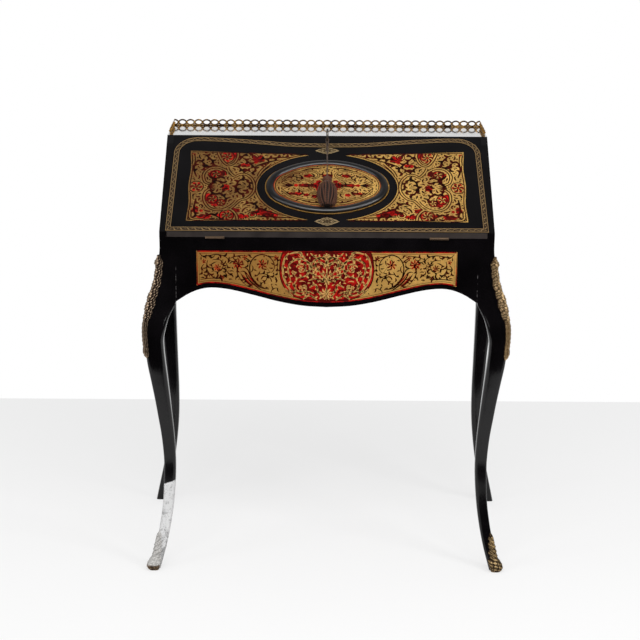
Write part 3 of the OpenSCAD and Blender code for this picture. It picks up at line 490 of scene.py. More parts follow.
@dataclass(frozen=True)
class SheetBrass:
    """Thin engraved sheet brass, lightly scratched, with warm tarnish in clouds and painted shade that
    darkens it towards the left.
    """

    name: str = "sheet_brass"
    bright: Point3 = (0.92, 0.56, 0.145)
    dark: Point3 = (0.44, 0.215, 0.042)
    patina: float = 0.45
    engraving: float = 0.25
    engraved: Point3 = (0.035, 0.010, 0.002)

    def build(self) -> bpy.types.Material:
        """Makes the material.

        Returns:
            The material.
        """
        shader = Shader(self.name)
        cloud = shader.noise(16.0, 4.0, 0.62)
        fine = shader.noise(520.0, 3.0, 0.6)
        lines = shader.math("SINE", shader.noise(95.0, 2.0, 0.5, distortion=1.5) * 60.0)
        cut = lines.over(0.25, 0.6) * self.engraving
        hair = shader.noise(420.0, 2.0, 0.5, shader.scaled((1.0, 7.0, 7.0), (0.0, 0.0, 0.6)))
        # Painted shade: the brass darkens towards the left, which gets less light.
        left_shade = 0.75 * (1.0 - shader.axis(0).over(-0.30, 0.22))
        mask = (cloud.over(0.34, 0.66) * self.patina + fine * 0.18 + left_shade).clamped()
        brass = shader.mix(mask, self.bright, self.dark)
        return shader.finish(
            {
                "Base Color": shader.mix(cut, brass, self.engraved),
                "Metallic": 0.4,
                "Roughness": 0.34 + 0.12 * mask + 0.1 * fine,
                "Normal": shader.bump(hair - 0.5 * cut, 0.0001, 0.35),
            }
        )


@dataclass(frozen=True)
class Shell:
    """Stained inlay under old polish: red shell or black mastic."""

    name: str
    colour: Point3
    deep: Point3

    def build(self) -> bpy.types.Material:
        """Makes the material.

        Returns:
            The material.
        """
        shader = Shader(self.name)
        cloud = shader.noise(70.0, 3.0, 0.6)
        return shader.finish(
            {
                "Base Color": shader.mix(cloud.over(0.36, 0.62), self.colour, self.deep),
                "Roughness": 0.3 + 0.1 * cloud,
                "IOR": 1.48,
                "Specular IOR Level": 0.1,
                "Normal": shader.bump(shader.noise(500.0), 0.0001, 0.3),
            }
        )


@dataclass(frozen=True)
class Timber:
    """Polished wood with long dark figure, bare and pale behind a drawer's front."""

    name: str
    light: Point3
    dark: Point3
    along: Point3 = (1.0, 9.0, 9.0)
    front: float = 9.0
    bare: Point3 = (0.42, 0.26, 0.13)

    def build(self) -> bpy.types.Material:
        """Makes the material.

        Returns:
            The material.
        """
        shader = Shader(self.name)
        way = shader.scaled(self.along)
        figure = shader.noise(6.0, 5.0, 0.62, way, distortion=1.4)
        bands = shader.math("SINE", figure * 42.0) * 0.5 + 0.5
        pores = shader.noise(160.0, 2.0, 0.6, way).over(0.58, 0.72)
        behind = shader.axis(1).over(self.front, self.front + 0.0004)
        colour = shader.mix(bands.over(0.15, 0.9), self.light, self.dark)
        colour = shader.mix(behind * (1.0 - 0.3 * bands), colour, self.bare)
        return shader.finish(
            {
                "Base Color": shader.mix(pores * 0.6, colour, tuple(0.35 * c for c in self.dark)),
                "Roughness": 0.24 + 0.14 * pores + 0.06 * bands,
                "Coat Weight": 0.25,
                "Coat Roughness": 0.12,
                "Normal": shader.bump(1.0 - pores, 0.0002, 0.4),
            }
        )


@dataclass(frozen=True)
class Hide:
    """Writing leather with a fine pebble grain."""

    name: str = "writing_hide"
    colour: Point3 = (0.13, 0.018, 0.014)
    worn: Point3 = (0.21, 0.05, 0.035)

    def build(self) -> bpy.types.Material:
        """Makes the material.

        Returns:
            The material.
        """
        shader = Shader(self.name)
        rub = shader.noise(14.0, 4.0, 0.6)
        pebble = shader.cells(650.0)
        return shader.finish(
            {
                "Base Color": shader.mix(rub.over(0.42, 0.7), self.colour, self.worn),
                "Roughness": 0.48 + 0.2 * pebble,
                "Normal": shader.bump(pebble, 0.0003, 0.7),
            }
        )


@dataclass(frozen=True)
class Silk:
    """Faded twisted silk."""

    name: str
    light: Point3
    dark: Point3
    twist: float = 900.0

    def build(self) -> bpy.types.Material:
        """Makes the material.

        Returns:
            The material.
        """
        shader = Shader(self.name)
        fade = shader.noise(60.0, 3.0, 0.6)
        ply = shader.noise(self.twist, 2.0, 0.5)
        mask = (fade * 0.6 + ply.over(0.35, 0.65) * 0.6).clamped()
        return shader.finish(
            {
                "Base Color": shader.mix(mask, self.dark, self.light),
                "Roughness": 0.62 + 0.2 * ply,
                "Sheen Weight": 0.08,
                "Sheen Roughness": 0.4,
                "Normal": shader.bump(ply, 0.0004, 0.8),
            }
        )


class Finish(Enum):
    """Every finish of the desk."""

    LACQUER = Lacquer()
    WORN = WornLacquer()
    POLISHED = Lacquer("polished_top", coat=1.0, shine=0.5)
    LIPPED = LippedLacquer()
    MOULDED = Lacquer("polished_moulding", shine=0.8, gloss=0.29)
    BRONZE = Metal("chased_bronze", (0.42, 0.31, 0.215), (0.035, 0.022, 0.016), is_chased=True)
    # Lighter copy of the chased bronze for the right knee mount: painted light for the side that the lamps
    # light more.
    RUBBED = Metal(
        "lit_side_bronze", (0.66, 0.46, 0.24), (0.05, 0.03, 0.018), rough=0.34, is_chased=True
    )
    WHITENED = Metal(
        "whitened_bronze", (0.40, 0.27, 0.15), (0.06, 0.04, 0.03), 0.9, 0.4, chalk_above=0.013
    )
    SHOE = Metal("shoe_bronze", (0.50, 0.35, 0.17), (0.03, 0.018, 0.012), 0.75, is_chased=True)
    GALLERY = Metal(
        "gallery_brass", (0.56, 0.32, 0.09), (0.05, 0.026, 0.013), 0.95, 0.3, relief=0.0002
    )
    BORDER = Metal(
        "embossed_brass", (0.56, 0.36, 0.15), (0.022, 0.011, 0.006), 0.5, 0.36, 230.0, 0.0003,
        0.6, is_chased=True,
    )
    ORNAMENT = Metal(
        "ornament_brass", (0.74, 0.55, 0.29), (0.03, 0.02, 0.01), 0.4, 0.34, 420.0, 0.0003,
        0.6, is_chased=True,
    )
    # Near-black brass for the plates under the lozenge scrolls: painted shade for the recesses between the
    # scrolls.
    TARNISHED = Metal(
        "recess_shade_brass", (0.085, 0.055, 0.025), (0.02, 0.012, 0.007), 0.6, 0.4,
        relief=0.0002, metallic=0.6,
    )
    HARDWARE = Metal(
        "hinge_brass", (0.17, 0.115, 0.075), (0.10, 0.07, 0.045), 0.6, 0.38, 250.0, 0.0001
    )
    STEEL = Metal("key_steel", (0.34, 0.32, 0.29), (0.10, 0.085, 0.07), 0.6, 0.3, relief=0.0002)
    SHEET = SheetBrass()
    FALL_SHEET = SheetBrass(
        "fall_sheet_brass", (0.98, 0.60, 0.15), (0.25, 0.125, 0.026), engraving=0.6
    )
    SCROLL = SheetBrass("scroll_brass", (0.95, 0.60, 0.19), (0.62, 0.33, 0.085), 0.3, 0.0)
    GILT = SheetBrass("gilt_tooling", (0.80, 0.56, 0.22), (0.48, 0.31, 0.12), 0.4, 0.0)
    RED = Shell("red_shell", (0.40, 0.006, 0.004), (0.085, 0.002, 0.002))
    BLACK = Shell("black_mastic", (0.007, 0.0015, 0.001), (0.055, 0.003, 0.001))
    ROSEWOOD = Timber("rosewood", (0.30, 0.105, 0.045), (0.055, 0.018, 0.010))
    DRAWER = Timber(
        "drawer_rosewood", (0.24, 0.075, 0.03), (0.04, 0.012, 0.007), (7.0, 7.0, 1.2), 0.0145
    )
    LID = Timber("lid_rosewood", (0.27, 0.09, 0.038), (0.05, 0.016, 0.009), (7.0, 1.2, 7.0))
    PLAIN_WOOD = Timber("drawer_wood", (0.42, 0.24, 0.12), (0.24, 0.12, 0.055))
    HIDE = Hide()
    SILK = Silk("faded_silk", (0.115, 0.036, 0.012), (0.03, 0.009, 0.003))
    # Near-black silk of the tassel's core: painted shade that shows in the gaps between the strands.
    SHADED_SILK = Silk("painted_shade_silk", (0.022, 0.008, 0.004), (0.008, 0.003, 0.002))
    CORD = Silk("silk_cord", (0.11, 0.07, 0.05), (0.03, 0.018, 0.012), 1400.0)

    @cached_property
    def material(self) -> bpy.types.Material:
        """The finish's material, built when it is first asked for."""
        return self.value.build()


# Curves and surfaces


def curve_at(knots: Sequence[Point2], place: float) -> float:
    """Reads a smooth curve through knots.

    Args:
        knots: Pairs of place and value in rising order of place.
        place: Where to read.

    Returns:
        The value there.
    """
    last = len(knots) - 1
    i = 0
    while i < last - 1 and place > knots[i + 1][0]:
        i += 1

    def tangent(k: int) -> float:
        """Slope of the curve at a knot."""
        low, high = knots[max(k - 1, 0)], knots[min(k + 1, last)]
        return (high[1] - low[1]) / (high[0] - low[0])

    (a, value_a), (b, value_b) = knots[i], knots[i + 1]
    span = b - a
    t = max(0.0, min(1.0, (place - a) / span))
    return (
        (2 * t**3 - 3 * t**2 + 1) * value_a
        + (t**3 - 2 * t**2 + t) * span * tangent(i)
        + (3 * t**2 - 2 * t**3) * value_b
        + (t**3 - t**2) * span * tangent(i + 1)
    )


def smooth_line(points: Sequence[Point], steps: int) -> list[tuple[float, ...]]:
    """Runs a smooth line through points, with a number of steps between two of them.

    Args:
        points: The points.
        steps: Steps between two of them.

    Returns:
        The line's points.
    """
    line: list[tuple[float, ...]] = []
    last = len(points) - 1
    for i in range(last):
        around = zip(points[max(i - 1, 0)], points[i], points[i + 1], points[min(i + 2, last)])
        terms = [(2 * b, c - a, 2 * a - 5 * b + 4 * c - d, 3 * b - a - 3 * c + d) for a, b, c, d in around]
        for k in range(steps):
            t = k / steps
            line.append(tuple(0.5 * (p + q * t + r * t * t + s * t**3) for p, q, r, s in terms))
    line.append(tuple(points[last]))
    return line


def circle(count: int) -> list[Point2]:
    """Evenly spaced points of the unit circle."""
    return [(math.cos(a), math.sin(a)) for a in (2 * math.pi * k / count for k in range(count))]


def shares(count: int) -> list[float]:
    """Evenly spaced numbers from 0 to 1, a number of steps apart."""
    return [i / count for i in range(count + 1)]


def settle(thing: bpy.types.Object, body: Body, slot: Slot, *replaced: str) -> None:
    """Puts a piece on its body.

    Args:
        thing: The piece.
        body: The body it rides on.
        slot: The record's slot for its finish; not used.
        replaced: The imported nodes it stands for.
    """
    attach(thing, body.value)
    if replaced:
        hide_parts(*replaced)
    LOG.info("made %s on %s", thing.name, body.value)


@dataclass
class Surface:
    """Points and faces that become one mesh.

    A point's fourth number says how high the chasing stands there.
    """

    CHASING = "chasing"
    PLAIN = 0.6
    SHARP = math.radians(50)

    points: list[tuple[float, ...]] = field(default_factory=list)
    faces: list[tuple[int, ...]] = field(default_factory=list)

    def add(self, points: Iterable[Point]) -> list[int]:
        """Adds points and numbers them.

        Args:
            points: The points.

        Returns:
            Their numbers.
        """
        first = len(self.points)
        self.points.extend(tuple(point) for point in points)
        return list(range(first, len(self.points)))

    def skin(self, rings: Sequence[Sequence[Point]], closed: bool = True, caps: bool = False) -> None:
        """Joins rings of points by four-sided faces.

        Args:
            rings: Rings with the same number of points.
            closed: Whether each ring closes on itself.
            caps: Whether the first and the last ring are filled.
        """
        numbers = [self.add(ring) for ring in rings]
        count = len(numbers[0])
        for low, high in zip(numbers, numbers[1:]):
            for j in range(count if closed else count - 1):
                k = (j + 1) % count
                self.faces.append((low[j], low[k], high[k], high[j]))
        if caps:
            self.faces.append(tuple(reversed(numbers[0])))
            self.faces.append(tuple(numbers[-1]))

    def tube(
        self, path: Sequence[Point], radius: Callable[[float], float], sides: int = 8,
        closed: bool = False,
    ) -> None:
        """Sweeps a round section along a path.

        Args:
            path: The points of the middle line.
            radius: Radius against the share of the path, from 0 to 1.
            sides: Sides of the section.
            closed: Whether the path closes on itself.
        """
        line = [Vector(point) for point in path]
        count = len(line)
        normal = None
        rings = []
        for i, point in enumerate(line):
            before = line[i - 1] if i or closed else point
            after = line[(i + 1) % count] if i + 1 < count or closed else point
            way = (after - before).normalized()
            if normal is None:
                normal = way.orthogonal().normalized()
            normal = (normal - way * normal.dot(way)).normalized()
            side = way.cross(normal)
            r = radius(i / (count - 1))
            rings.append([point + normal * (r * x) + side * (r * y) for x, y in circle(sides)])
        if closed:
            rings.append(rings[0])
        self.skin(rings, caps=not closed)

    def blob(self, centre: Point, radii: Point3, turn: Matrix = Matrix.Identity(3)) -> None:
        """Adds a small rounded bead with half sizes along its own axes.

        Args:
            centre: Its middle.
            radii: Half sizes along its own axes, in metres.
            turn: The turn of those axes.
        """
        rings = []
        for i in range(7):
            a = math.pi * (i + 0.15) / 6.3 - math.pi / 2
            flat, high = math.cos(a), radii[2] * math.sin(a)
            ring = [Vector((radii[0] * flat * x, radii[1] * flat * y, high)) for x, y in circle(10)]
            rings.append([Vector(centre) + turn @ point for point in ring])
        self.skin(rings, caps=True)

    def ride(
        self, name: str, finish: Finish, body: Body, slot: Slot, *replaced: str, smooth: bool = True
    ) -> None:
        """Makes the piece and puts it on its body."""
        settle(self.make(name, finish.material, smooth), body, slot, *replaced)

    def make(self, name: str, material: bpy.types.Material, smooth: bool) -> bpy.types.Object:
        """Makes the object with its name, its material and its shading.

        Args:
            name: The object's name.
            material: Its material.
            smooth: Whether it is shaded smooth.

        Returns:
            The object.
        """
        mesh = bpy.data.meshes.new(name)
        mesh.from_pydata([point[:3] for point in self.points], [], self.faces)
        heights = [point[3] if len(point) > 3 else self.PLAIN for point in self.points]
        mesh.attributes.new(self.CHASING, "FLOAT", "POINT").data.foreach_set("value", heights)
        mesh.validate()
        mesh.update()
        if smooth:
            mesh.shade_smooth()
            mesh.set_sharp_from_angle(angle=self.SHARP)
        mesh.materials.append(material)
        thing = bpy.data.objects.new(name, mesh)
        bpy.context.scene.collection.objects.link(thing)
        return thing


@dataclass(frozen=True)
class Frame:
    """Sizes that every sub-assembly shares, in millimetres."""

    carcass_w: float = 700.0
    carcass_d: float = 409.0
    joint_h: float = 728.5
    top_h: float = 904.0
    top_depth: float = 152.0
    lip_h: float = 740.5
    front: float = -0.2111

    @property
    def slope(self) -> float:
        """Angle of the fall in radians."""
        return math.atan2(self.top_h - self.lip_h, self.carcass_d - self.top_depth)

    @property
    def slant_l(self) -> float:
        """Length of the slope."""
        return math.hypot(self.top_h - self.lip_h, self.carcass_d - self.top_depth)

    def point(self, x: float, y: float, z: float) -> Vector:
        """A place in the desk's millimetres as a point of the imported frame."""
        return Vector((x * MM, self.front + y * MM, z * MM))

    def on_fall(self, x: float, s: float, n: float) -> Vector:
        """A place on the closed fall: along its width, up its slope and out of its face."""
        c, k = math.cos(self.slope), math.sin(self.slope)
        return self.point(x, s * c - n * k, self.lip_h + s * k + n * c)

    def on_apron(self, x: float, z: float, n: float) -> Vector:
        """A place on the front apron: along its width, its height and out of its face."""
        return self.point(x, -n, z)


# Legs and their mounts


@dataclass
class Leg:
    """One cabriole leg, drawn outwards from a corner of the carcass.

    The shin's curves count their height from the floor, the knee's from the joint.
    """

    frame: Frame
    side: int
    is_front: bool
    knee_h: float = 216.5
    splay_h: float = 560.0
    back_splay: float = 25.0
    sole_t: float = 3.0
    corner_points: int = 7
    levels: int = 96
    flush_from: float = 520.0
    flush_to: float = 600.0
    post_from: float = 640.0
    post_to: float = 700.0
    shin_out: tuple[Point2, ...] = (
        (0, 26), (36, 18.5), (62, 13), (98, 6), (150, -0.8), (204, -2.8), (240, -3.3),
        (294, 1), (337, 7), (378, 13), (420, 20), (461, 27), (512, 32.2),
    )
    shin_in: tuple[Point2, ...] = (
        (0, 6), (54, -8.5), (109, -19), (164, -25.5), (220, -28.5), (280, -27),
        (355, -21), (430, -14), (486, -8.7), (512, -7.6),
    )
    knee_out: tuple[Point2, ...] = (
        (-216.5, 32.2), (-183, 33.2), (-148, 30), (-124, 24), (-100, 14), (-76, 8),
        (-51, 3), (-28, 0), (0, 0),
    )
    knee_in: tuple[Point2, ...] = (
        (-216.5, -7.6), (-198, -11), (-170, -19), (-150, -29), (-137.9, -34), (0, -34),
    )

    @property
    def hand(self) -> str:
        """The leg's side as a word."""
        return "left" if self.side < 0 else "right"

    def reach(self, shin: Sequence[Point2], knee: Sequence[Point2], z: float) -> float:
        """How far a side lies beyond the carcass at a height."""
        joint = self.frame.joint_h
        return curve_at(shin, z) if z < joint - self.knee_h else curve_at(knee, z - joint)

    def outer(self, z: float) -> float:
        """How far the outer side lies beyond the carcass at a height."""
        return self.reach(self.shin_out, self.knee_out, z)

    def inner(self, z: float) -> float:
        """How far the inner side lies beyond the carcass at a height."""
        return self.reach(self.shin_in, self.knee_in, z)

    def splay(self, z: float) -> float:
        """How far a back leg kicks out at a height.

        Args:
            z: The height.

        Returns:
            The distance.
        """
        if self.is_front or z > self.splay_h:
            return 0.0
        return self.back_splay * (1 - (z / self.splay_h) ** 2)

    def flush(self, z: float) -> float:
        """1 where the face runs level into the aprons, 0 in the free part of the leg.

        Args:
            z: The height.

        Returns:
            The share.
        """
        run = self.flush_to - self.flush_from
        t = max(0.0, min(1.0, (z - self.flush_from) / run))
        return t * t * (3 - 2 * t)

    def corners(self, z: float) -> list[Point2]:
        """The section's corners at a height: arris, front inner, inner and side inner.

        Args:
            z: The height.

        Returns:
            The corners, outwards from the carcass.
        """
        o = self.outer(z) + self.splay(z)
        i = self.inner(z) + self.splay(z)
        f = self.flush(z)
        edge = o * (1 - f) + min(o, 0.0) * f
        return [(o, o), (i, edge), (i, i), (edge, i)]

    def roundings(self, z: float) -> list[float]:
        """How far each corner is rounded at a height.

        Args:
            z: The height.

        Returns:
            One length for each corner.
        """
        width = self.outer(z) - self.inner(z)
        free = 0.3 * width * (1 - self.flush(z))
        post = max(0.0, min(1.0, (z - self.post_from) / (self.post_to - self.post_from)))
        return [(0.2 * width) * (1 - post) + 1.2 * post, 0.8 + free, 2.0 + free, 0.8 + free]

    def section(self, z: float) -> list[Point2]:
        """The rounded section at a height, from the middle of its arris on.

        Args:
            z: The height.

        Returns:
            Its points.
        """
        corners = [Vector(corner) for corner in self.corners(z)]
        n = self.corner_points
        ring: list[Point2] = []
        for k, (c, cut) in enumerate(zip(corners, self.roundings(z))):
            before, after = corners[k - 1], corners[(k + 1) % 4]
            a = c + (before - c).normalized() * min(cut, 0.49 * (before - c).length)
            b = c + (after - c).normalized() * min(cut, 0.49 * (after - c).length)
            for step in range(n):
                t = step / (n - 1)
                ring.append(tuple(a * (1 - t) ** 2 + c * (2 * t * (1 - t)) + b * t * t))
        return ring[n // 2:] + ring[:n // 2]

    def place(self, x: float, y: float, z: float) -> Vector:
        """Puts a place given outwards from the corner where it belongs.

        Args:
            x: Outwards across.
            y: Outwards in depth.
            z: The height.

        Returns:
            The point.
        """
        f = self.frame
        depth = -y if self.is_front else f.carcass_d + y
        return f.point(self.side * (f.carcass_w / 2 + x), depth, z)

    def wrap(
        self, z: float, across: int, reach: Callable[[float], float],
        rise: Callable[[float], Point2],
    ) -> list[tuple[float, ...]]:
        """One ring of a mount that wraps the arris.

        Args:
            z: The ring's height.
            across: Steps across.
            reach: Distance from the arris against the place across, from -1 to 1.
            rise: How far the mount stands out there, and how high its chasing stands.

        Returns:
            The ring's points.
        """
        section = self.section(z)
        ring = []
        for j in range(across + 1):
            u = -1 + 2 * j / across
            base, out = outline_walk(section, reach(u))
            height, chasing = rise(u)
            point = base + out * height
            ring.append((*self.place(point.x, point.y, z), chasing))
        return ring

    def build(self) -> None:
        """Makes the leg."""
        low, top = self.sole_t if self.is_front else 0.0, self.frame.joint_h
        heights = [low + (top - low) * i / self.levels for i in range(self.levels + 1)]
        surface = Surface()
        surface.skin([[self.place(x, y, z) for x, y in self.section(z)] for z in heights], caps=True)
        name = f"{self.hand}_{'front' if self.is_front else 'back'}_leg"
        finish = Finish.WORN if self.side < 0 and self.is_front else Finish.LACQUER
        surface.ride(f"cabriole_{name}", finish, Body.FRAME, Slot.LACQUER, name)


def outline_walk(ring: Sequence[Point2], distance: float) -> tuple[Vector, Vector]:
    """Walks along a section from its arris.

    Args:
        ring: The section's points from the arris on.
        distance: How far, and towards which side by its sign.

    Returns:
        The place and the outward direction there.
    """
    corner = Vector((1, 1)).normalized()
    points = [Vector(point) for point in ring]
    if distance < 0:
        points = [points[0]] + points[:0:-1]
    left = abs(distance)
    for a, b in zip(points, points[1:]):
        step = (b - a).length
        if left <= step or b is points[-1]:
            way = (b - a).normalized()
            out = Vector((way.y, -way.x)) * (-1 if distance < 0 else 1)
            return a + (b - a) * (left / max(step, 1e-9)), out if abs(distance) > 1e-6 else corner
        left -= step
    return points[-1], corner


@dataclass
class KneeMount:
    """A leafy mount that wraps the outer arris of a front leg.

    Heights are drops: they count from the joint, negative below it.
    """

    leg: Leg
    proud: float = 5.5
    half_w: float = 25.0
    front_share: float = 0.66
    top: float = 38.0
    foot: float = 255.0
    reeds_top: float = -176.0
    across: int = 36
    along: int = 190
    shape: tuple[Point2, ...] = (
        (-255, 0.08), (-248, 0.34), (-228, 0.42), (-188, 0.44), (-173, 0.5), (-158, 0.8),
        (-143, 1), (-128, 1), (-108, 0.88), (-78, 0.74), (-53, 0.62), (-38, 0.1),
    )

    def reach(self, u: float, drop: float) -> float:
        """Distance from the arris at a place across and a drop; the front side is narrower.

        Args:
            u: Place across, from -1 to 1.
            drop: The drop.

        Returns:
            The distance.
        """
        hand = 1 if u > 0 else -1
        share = self.front_share if hand > 0 else 1.0
        width = share * self.half_w * max(0.08, curve_at(self.shape, drop))
        return width * self.scallop(drop, hand) * u

    def scallop(self, drop: float, hand: int) -> float:
        """Share of the width that a leaf's edge reaches at a drop.

        Args:
            drop: The drop.
            hand: 1 on the front side, -1 on the other.

        Returns:
            The share.
        """
        if drop < self.reeds_top:
            return 1.0 - 0.1 * abs(math.sin(drop * 0.30 + hand))
        lobe = abs(math.sin(math.pi * (drop + 40 + 5 * hand) / 21.0))
        return 0.80 + 0.24 * lobe**0.6

    def knob(self, drop: float) -> float:
        """How far the shell at the head and the knob at the tail swell out at a drop."""
        return 3.6 * math.exp(-(((drop + 54) / 8) ** 2)) + 1.8 * math.exp(-(((drop + 240) / 6) ** 2))

    def relief(self, u: float, drop: float) -> float:
        """Height of the chasing, from 0 to 1, at a place across and a drop.

        Args:
            u: Place across, from -1 to 1.
            drop: The drop.

        Returns:
            The height.
        """
        reach = abs(u)
        rim = math.sqrt(max(0.0, 1 - reach**6))
        if drop < self.reeds_top:
            reeds = 0.5 + 0.5 * math.cos(2 * math.pi * u * 2.5)
            ties = 0.5 + 0.5 * math.cos(2 * math.pi * drop / 9.0)
            return rim * (0.45 + 0.35 * reeds + 0.12 * ties)
        rib = math.exp(-((u / 0.12) ** 2))
        wave = 0.22 * math.sin(2 * math.pi * drop / 23.0)
        reeds = 0.5 + 0.5 * math.cos(2 * math.pi * (2.6 * reach + wave))
        veins = 0.5 + 0.5 * math.cos(2 * math.pi * (drop / 6.2 - 1.6 * reach))
        return rim * (0.22 + 0.3 * rib + 0.34 * reeds + 0.26 * veins)

    def rise(self, u: float, drop: float, grown: float) -> Point2:
        """How far the mount stands out at a place, and the height of its chasing.

        Args:
            u: Place across, from -1 to 1.
            drop: The drop.
            grown: Share of its thickness that the mount has there.

        Returns:
            The distance, which is below the leg's face at the edges, and the chasing.
        """
        relief = self.relief(u, drop)
        height = self.proud * relief * grown + self.knob(drop) * (1 - u**4)
        return -0.6 if abs(u) == 1 else height, 1.25 * relief - 0.2

    def build(self) -> None:
        """Makes the mount."""
        rings = []
        for i in range(self.along + 1):
            drop = -self.foot + (self.foot - self.top) * i / self.along
            grown = min(1.0, (i + 1) / 6)
            z = self.leg.frame.joint_h + drop
            rings.append(
                self.leg.wrap(
                    z, self.across, lambda u: self.reach(u, drop),
                    lambda u: self.rise(u, drop, grown),
                )
            )
        surface = Surface()
        surface.skin(rings, closed=False)
        hand = self.leg.hand
        # The right mount takes the lighter bronze copy: painted light for the better lit side.
        finish = Finish.BRONZE if self.leg.side < 0 else Finish.RUBBED
        surface.ride(f"{hand}_knee_leafwork", finish, Body.FRAME, Slot.BRONZE, f"{hand}_knee_mount")


@dataclass
class Sabot:
    """The chased shoe of a front foot with its upright leaf."""

    leg: Leg
    shoe_top: float = 27.0
    leaf_top: float = 82.0
    toe: float = 11.0
    bare: float = 2.5
    leaf_w: float = 17.0
    leaf_tip_w: float = 1.2
    leaf_rise: float = 6.0
    around: int = 72
    levels: int = 22
    across: int = 20
    along: int = 44
    swell: tuple[Point2, ...] = ((0, 0.25), (5, 0.7), (11, 1.0), (18, 0.85), (27, 0.4))
    surface: Surface = field(default_factory=Surface)

    def shoe(self) -> None:
        """Adds the shoe: a chased cup with a swelling toe and a lining just below its rim."""
        rings = []
        for i in range(self.levels + 2):
            is_lining = i == self.levels + 1
            z = self.shoe_top - 1.5 if is_lining else self.shoe_top * i / self.levels
            inner, outer = self.leg.inner(z), self.leg.outer(z)
            low, high = inner + self.bare, outer + self.toe * curve_at(self.swell, z)
            if is_lining:
                low, high = inner + 3, outer - 1
            middle, half = (low + high) / 2, (high - low) / 2
            ring = []
            for k, place in enumerate(circle(self.around)):
                a = 2 * math.pi * k / self.around
                x, y = (math.copysign(abs(f) ** 0.62, f) for f in place)
                relief = 0.5 + 0.5 * math.sin(6 * a + 0.55 * z) * math.cos(9 * a - 0.35 * z)
                grow = half * (1 + (0.0 if is_lining else 0.1 * (relief - 0.7)))
                ring.append((*self.leg.place(middle + grow * x, middle + grow * y, z), relief))
            rings.append(ring)
        self.surface.skin(rings)
        self.surface.faces.append(tuple(range(self.around - 1, -1, -1)))

    def rise(self, u: float, t: float) -> Point2:
        """How far the leaf stands out at a place.

        Args:
            u: Place across, from -1 to 1.
            t: Share of the leaf's length.

        Returns:
            The distance and the height of the chasing.
        """
        rib = math.exp(-((u / 0.16) ** 2))
        vein = 0.5 + 0.5 * math.cos(2 * math.pi * (t * 6 - 0.9 * abs(u)))
        relief = (0.2 + 0.35 * rib + 0.45 * vein) * min(1.0, 5 * (1 - t) + 0.2)
        height = -0.5 if abs(u) == 1 else self.leaf_rise * relief * (1 - 0.6 * u * u)
        return height, 1.2 * relief - 0.1

    def leaf(self) -> None:
        """Adds the veined leaf that climbs the arris."""
        rings = []
        foot = self.shoe_top - 3
        for t in shares(self.along):
            lobes = 0.72 + 0.3 * abs(math.cos(math.pi * t * 3.5))
            spread = (self.leaf_w - self.leaf_tip_w) * math.sqrt(max(0.0, 1 - t))
            width = (self.leaf_tip_w + spread) * lobes
            z = foot + (self.leaf_top - foot) * t
            rings.append(
                self.leg.wrap(z, self.across, lambda u: width * u, lambda u: self.rise(u, t))
            )
        self.surface.skin(rings, closed=False)

    def build(self) -> None:
        """Makes the sabot."""
        self.shoe()
        self.leaf()
        hand = self.leg.hand
        finish = Finish.WHITENED if self.leg.side < 0 else Finish.SHOE
        name = f"{hand}_chased_sabot"
        self.surface.ride(name, finish, Body.FRAME, Slot.BRONZE, f"{hand}_sabot")


# Gallery


@dataclass
class Gallery:
    """The pierced gallery: two crossing waves of flat wire on a thin rail."""

    frame: Frame
    height: float = 14.4
    pitch: float = 18.1
    inset: float = 5.0
    rail_h: float = 1.6
    thick: float = 1.6
    wire_w: float = 3.3
    wire_t: float = 1.1
    swing: float = 5.6
    middle_down: float = 7.3
    wire_gap: float = 0.18
    section: tuple[Point2, ...] = (
        (-0.5, -0.3), (-0.3, -0.5), (0.3, -0.5), (0.5, -0.3),
        (0.5, 0.3), (0.3, 0.5), (-0.3, 0.5), (-0.5, 0.3),
    )

    def flat_wire(
        self, surface: Surface, path: Sequence[Point2], put: Put, width: float, depth: float
    ) -> None:
        """Adds a flat band with rounded edges along a path.

        Args:
            surface: The mesh to add to.
            path: Points along the run and up.
            put: Turns run, height and depth into a place.
            width: Width of the band.
            depth: Its thickness.
        """
        rings = []
        last = len(path) - 1
        for i, (x, z) in enumerate(path):
            before, after = path[max(i - 1, 0)], path[min(i + 1, last)]
            way = Vector((after[0] - before[0], after[1] - before[1])).normalized()
            rings.append(
                [put(x - way.y * width * a, z + way.x * width * a, depth * b) for a, b in self.section]
            )
        surface.skin(rings, caps=True)

    def strip(self, surface: Surface, length: float, put: Put, steps: int = 16) -> None:
        """Adds one run of the gallery.

        Args:
            surface: The mesh to add to.
            length: Length of the run.
            put: Turns run, height and depth into a place.
            steps: Steps of a wave on one pitch.
        """
        count = int(length / self.pitch)
        pitch, half = length / count, length / 2
        middle = self.height - self.middle_down
        for hand in (1, -1):
            path = []
            for i in range(count * steps + 1):
                wave = math.cos(2 * math.pi * (i / steps) / 2)
                lift = math.copysign(abs(wave) ** 0.6, wave)
                path.append((-half + pitch * i / steps, middle + hand * self.swing * lift))
            gap = self.wire_gap * hand
            self.flat_wire(
                surface, path, lambda x, z, n: put(x, z, n + gap), self.wire_w, self.wire_t
            )
        rail = [(-half, self.rail_h / 2), (half, self.rail_h / 2)]
        self.flat_wire(surface, rail, put, self.rail_h, self.thick)
        for i in range(count):
            x = -half + pitch * (i + 0.5)
            surface.blob(put(x, middle, 0.0), (0.003, 0.0009, 0.0026))
            surface.blob(put(x, self.rail_h + 0.4, 0.0), (0.0016, 0.0008, 0.0012))

    def build(self) -> None:
        """Makes the back run and the two side runs."""
        f = self.frame
        back_y = f.carcass_d - self.inset
        side_l = f.top_depth - 2 * self.inset
        side_x, side_y = f.carcass_w / 2 - self.inset, back_y - 0.8 - side_l / 2
        runs = (
            ("back", 2 * side_x, lambda x, z, n: f.point(x, back_y + n, f.top_h + z)),
            ("left", side_l, lambda x, z, n: f.point(-side_x + n, side_y + x, f.top_h + z)),
            ("right", side_l, lambda x, z, n: f.point(side_x + n, side_y + x, f.top_h + z)),
        )
        for label, length, put in runs:
            surface = Surface()
            self.strip(surface, length, put)
            name = f"{label}_gallery"
            surface.ride(f"pierced_{name}", Finish.GALLERY, Body.FRAME, Slot.BRASS, name)


# Oval


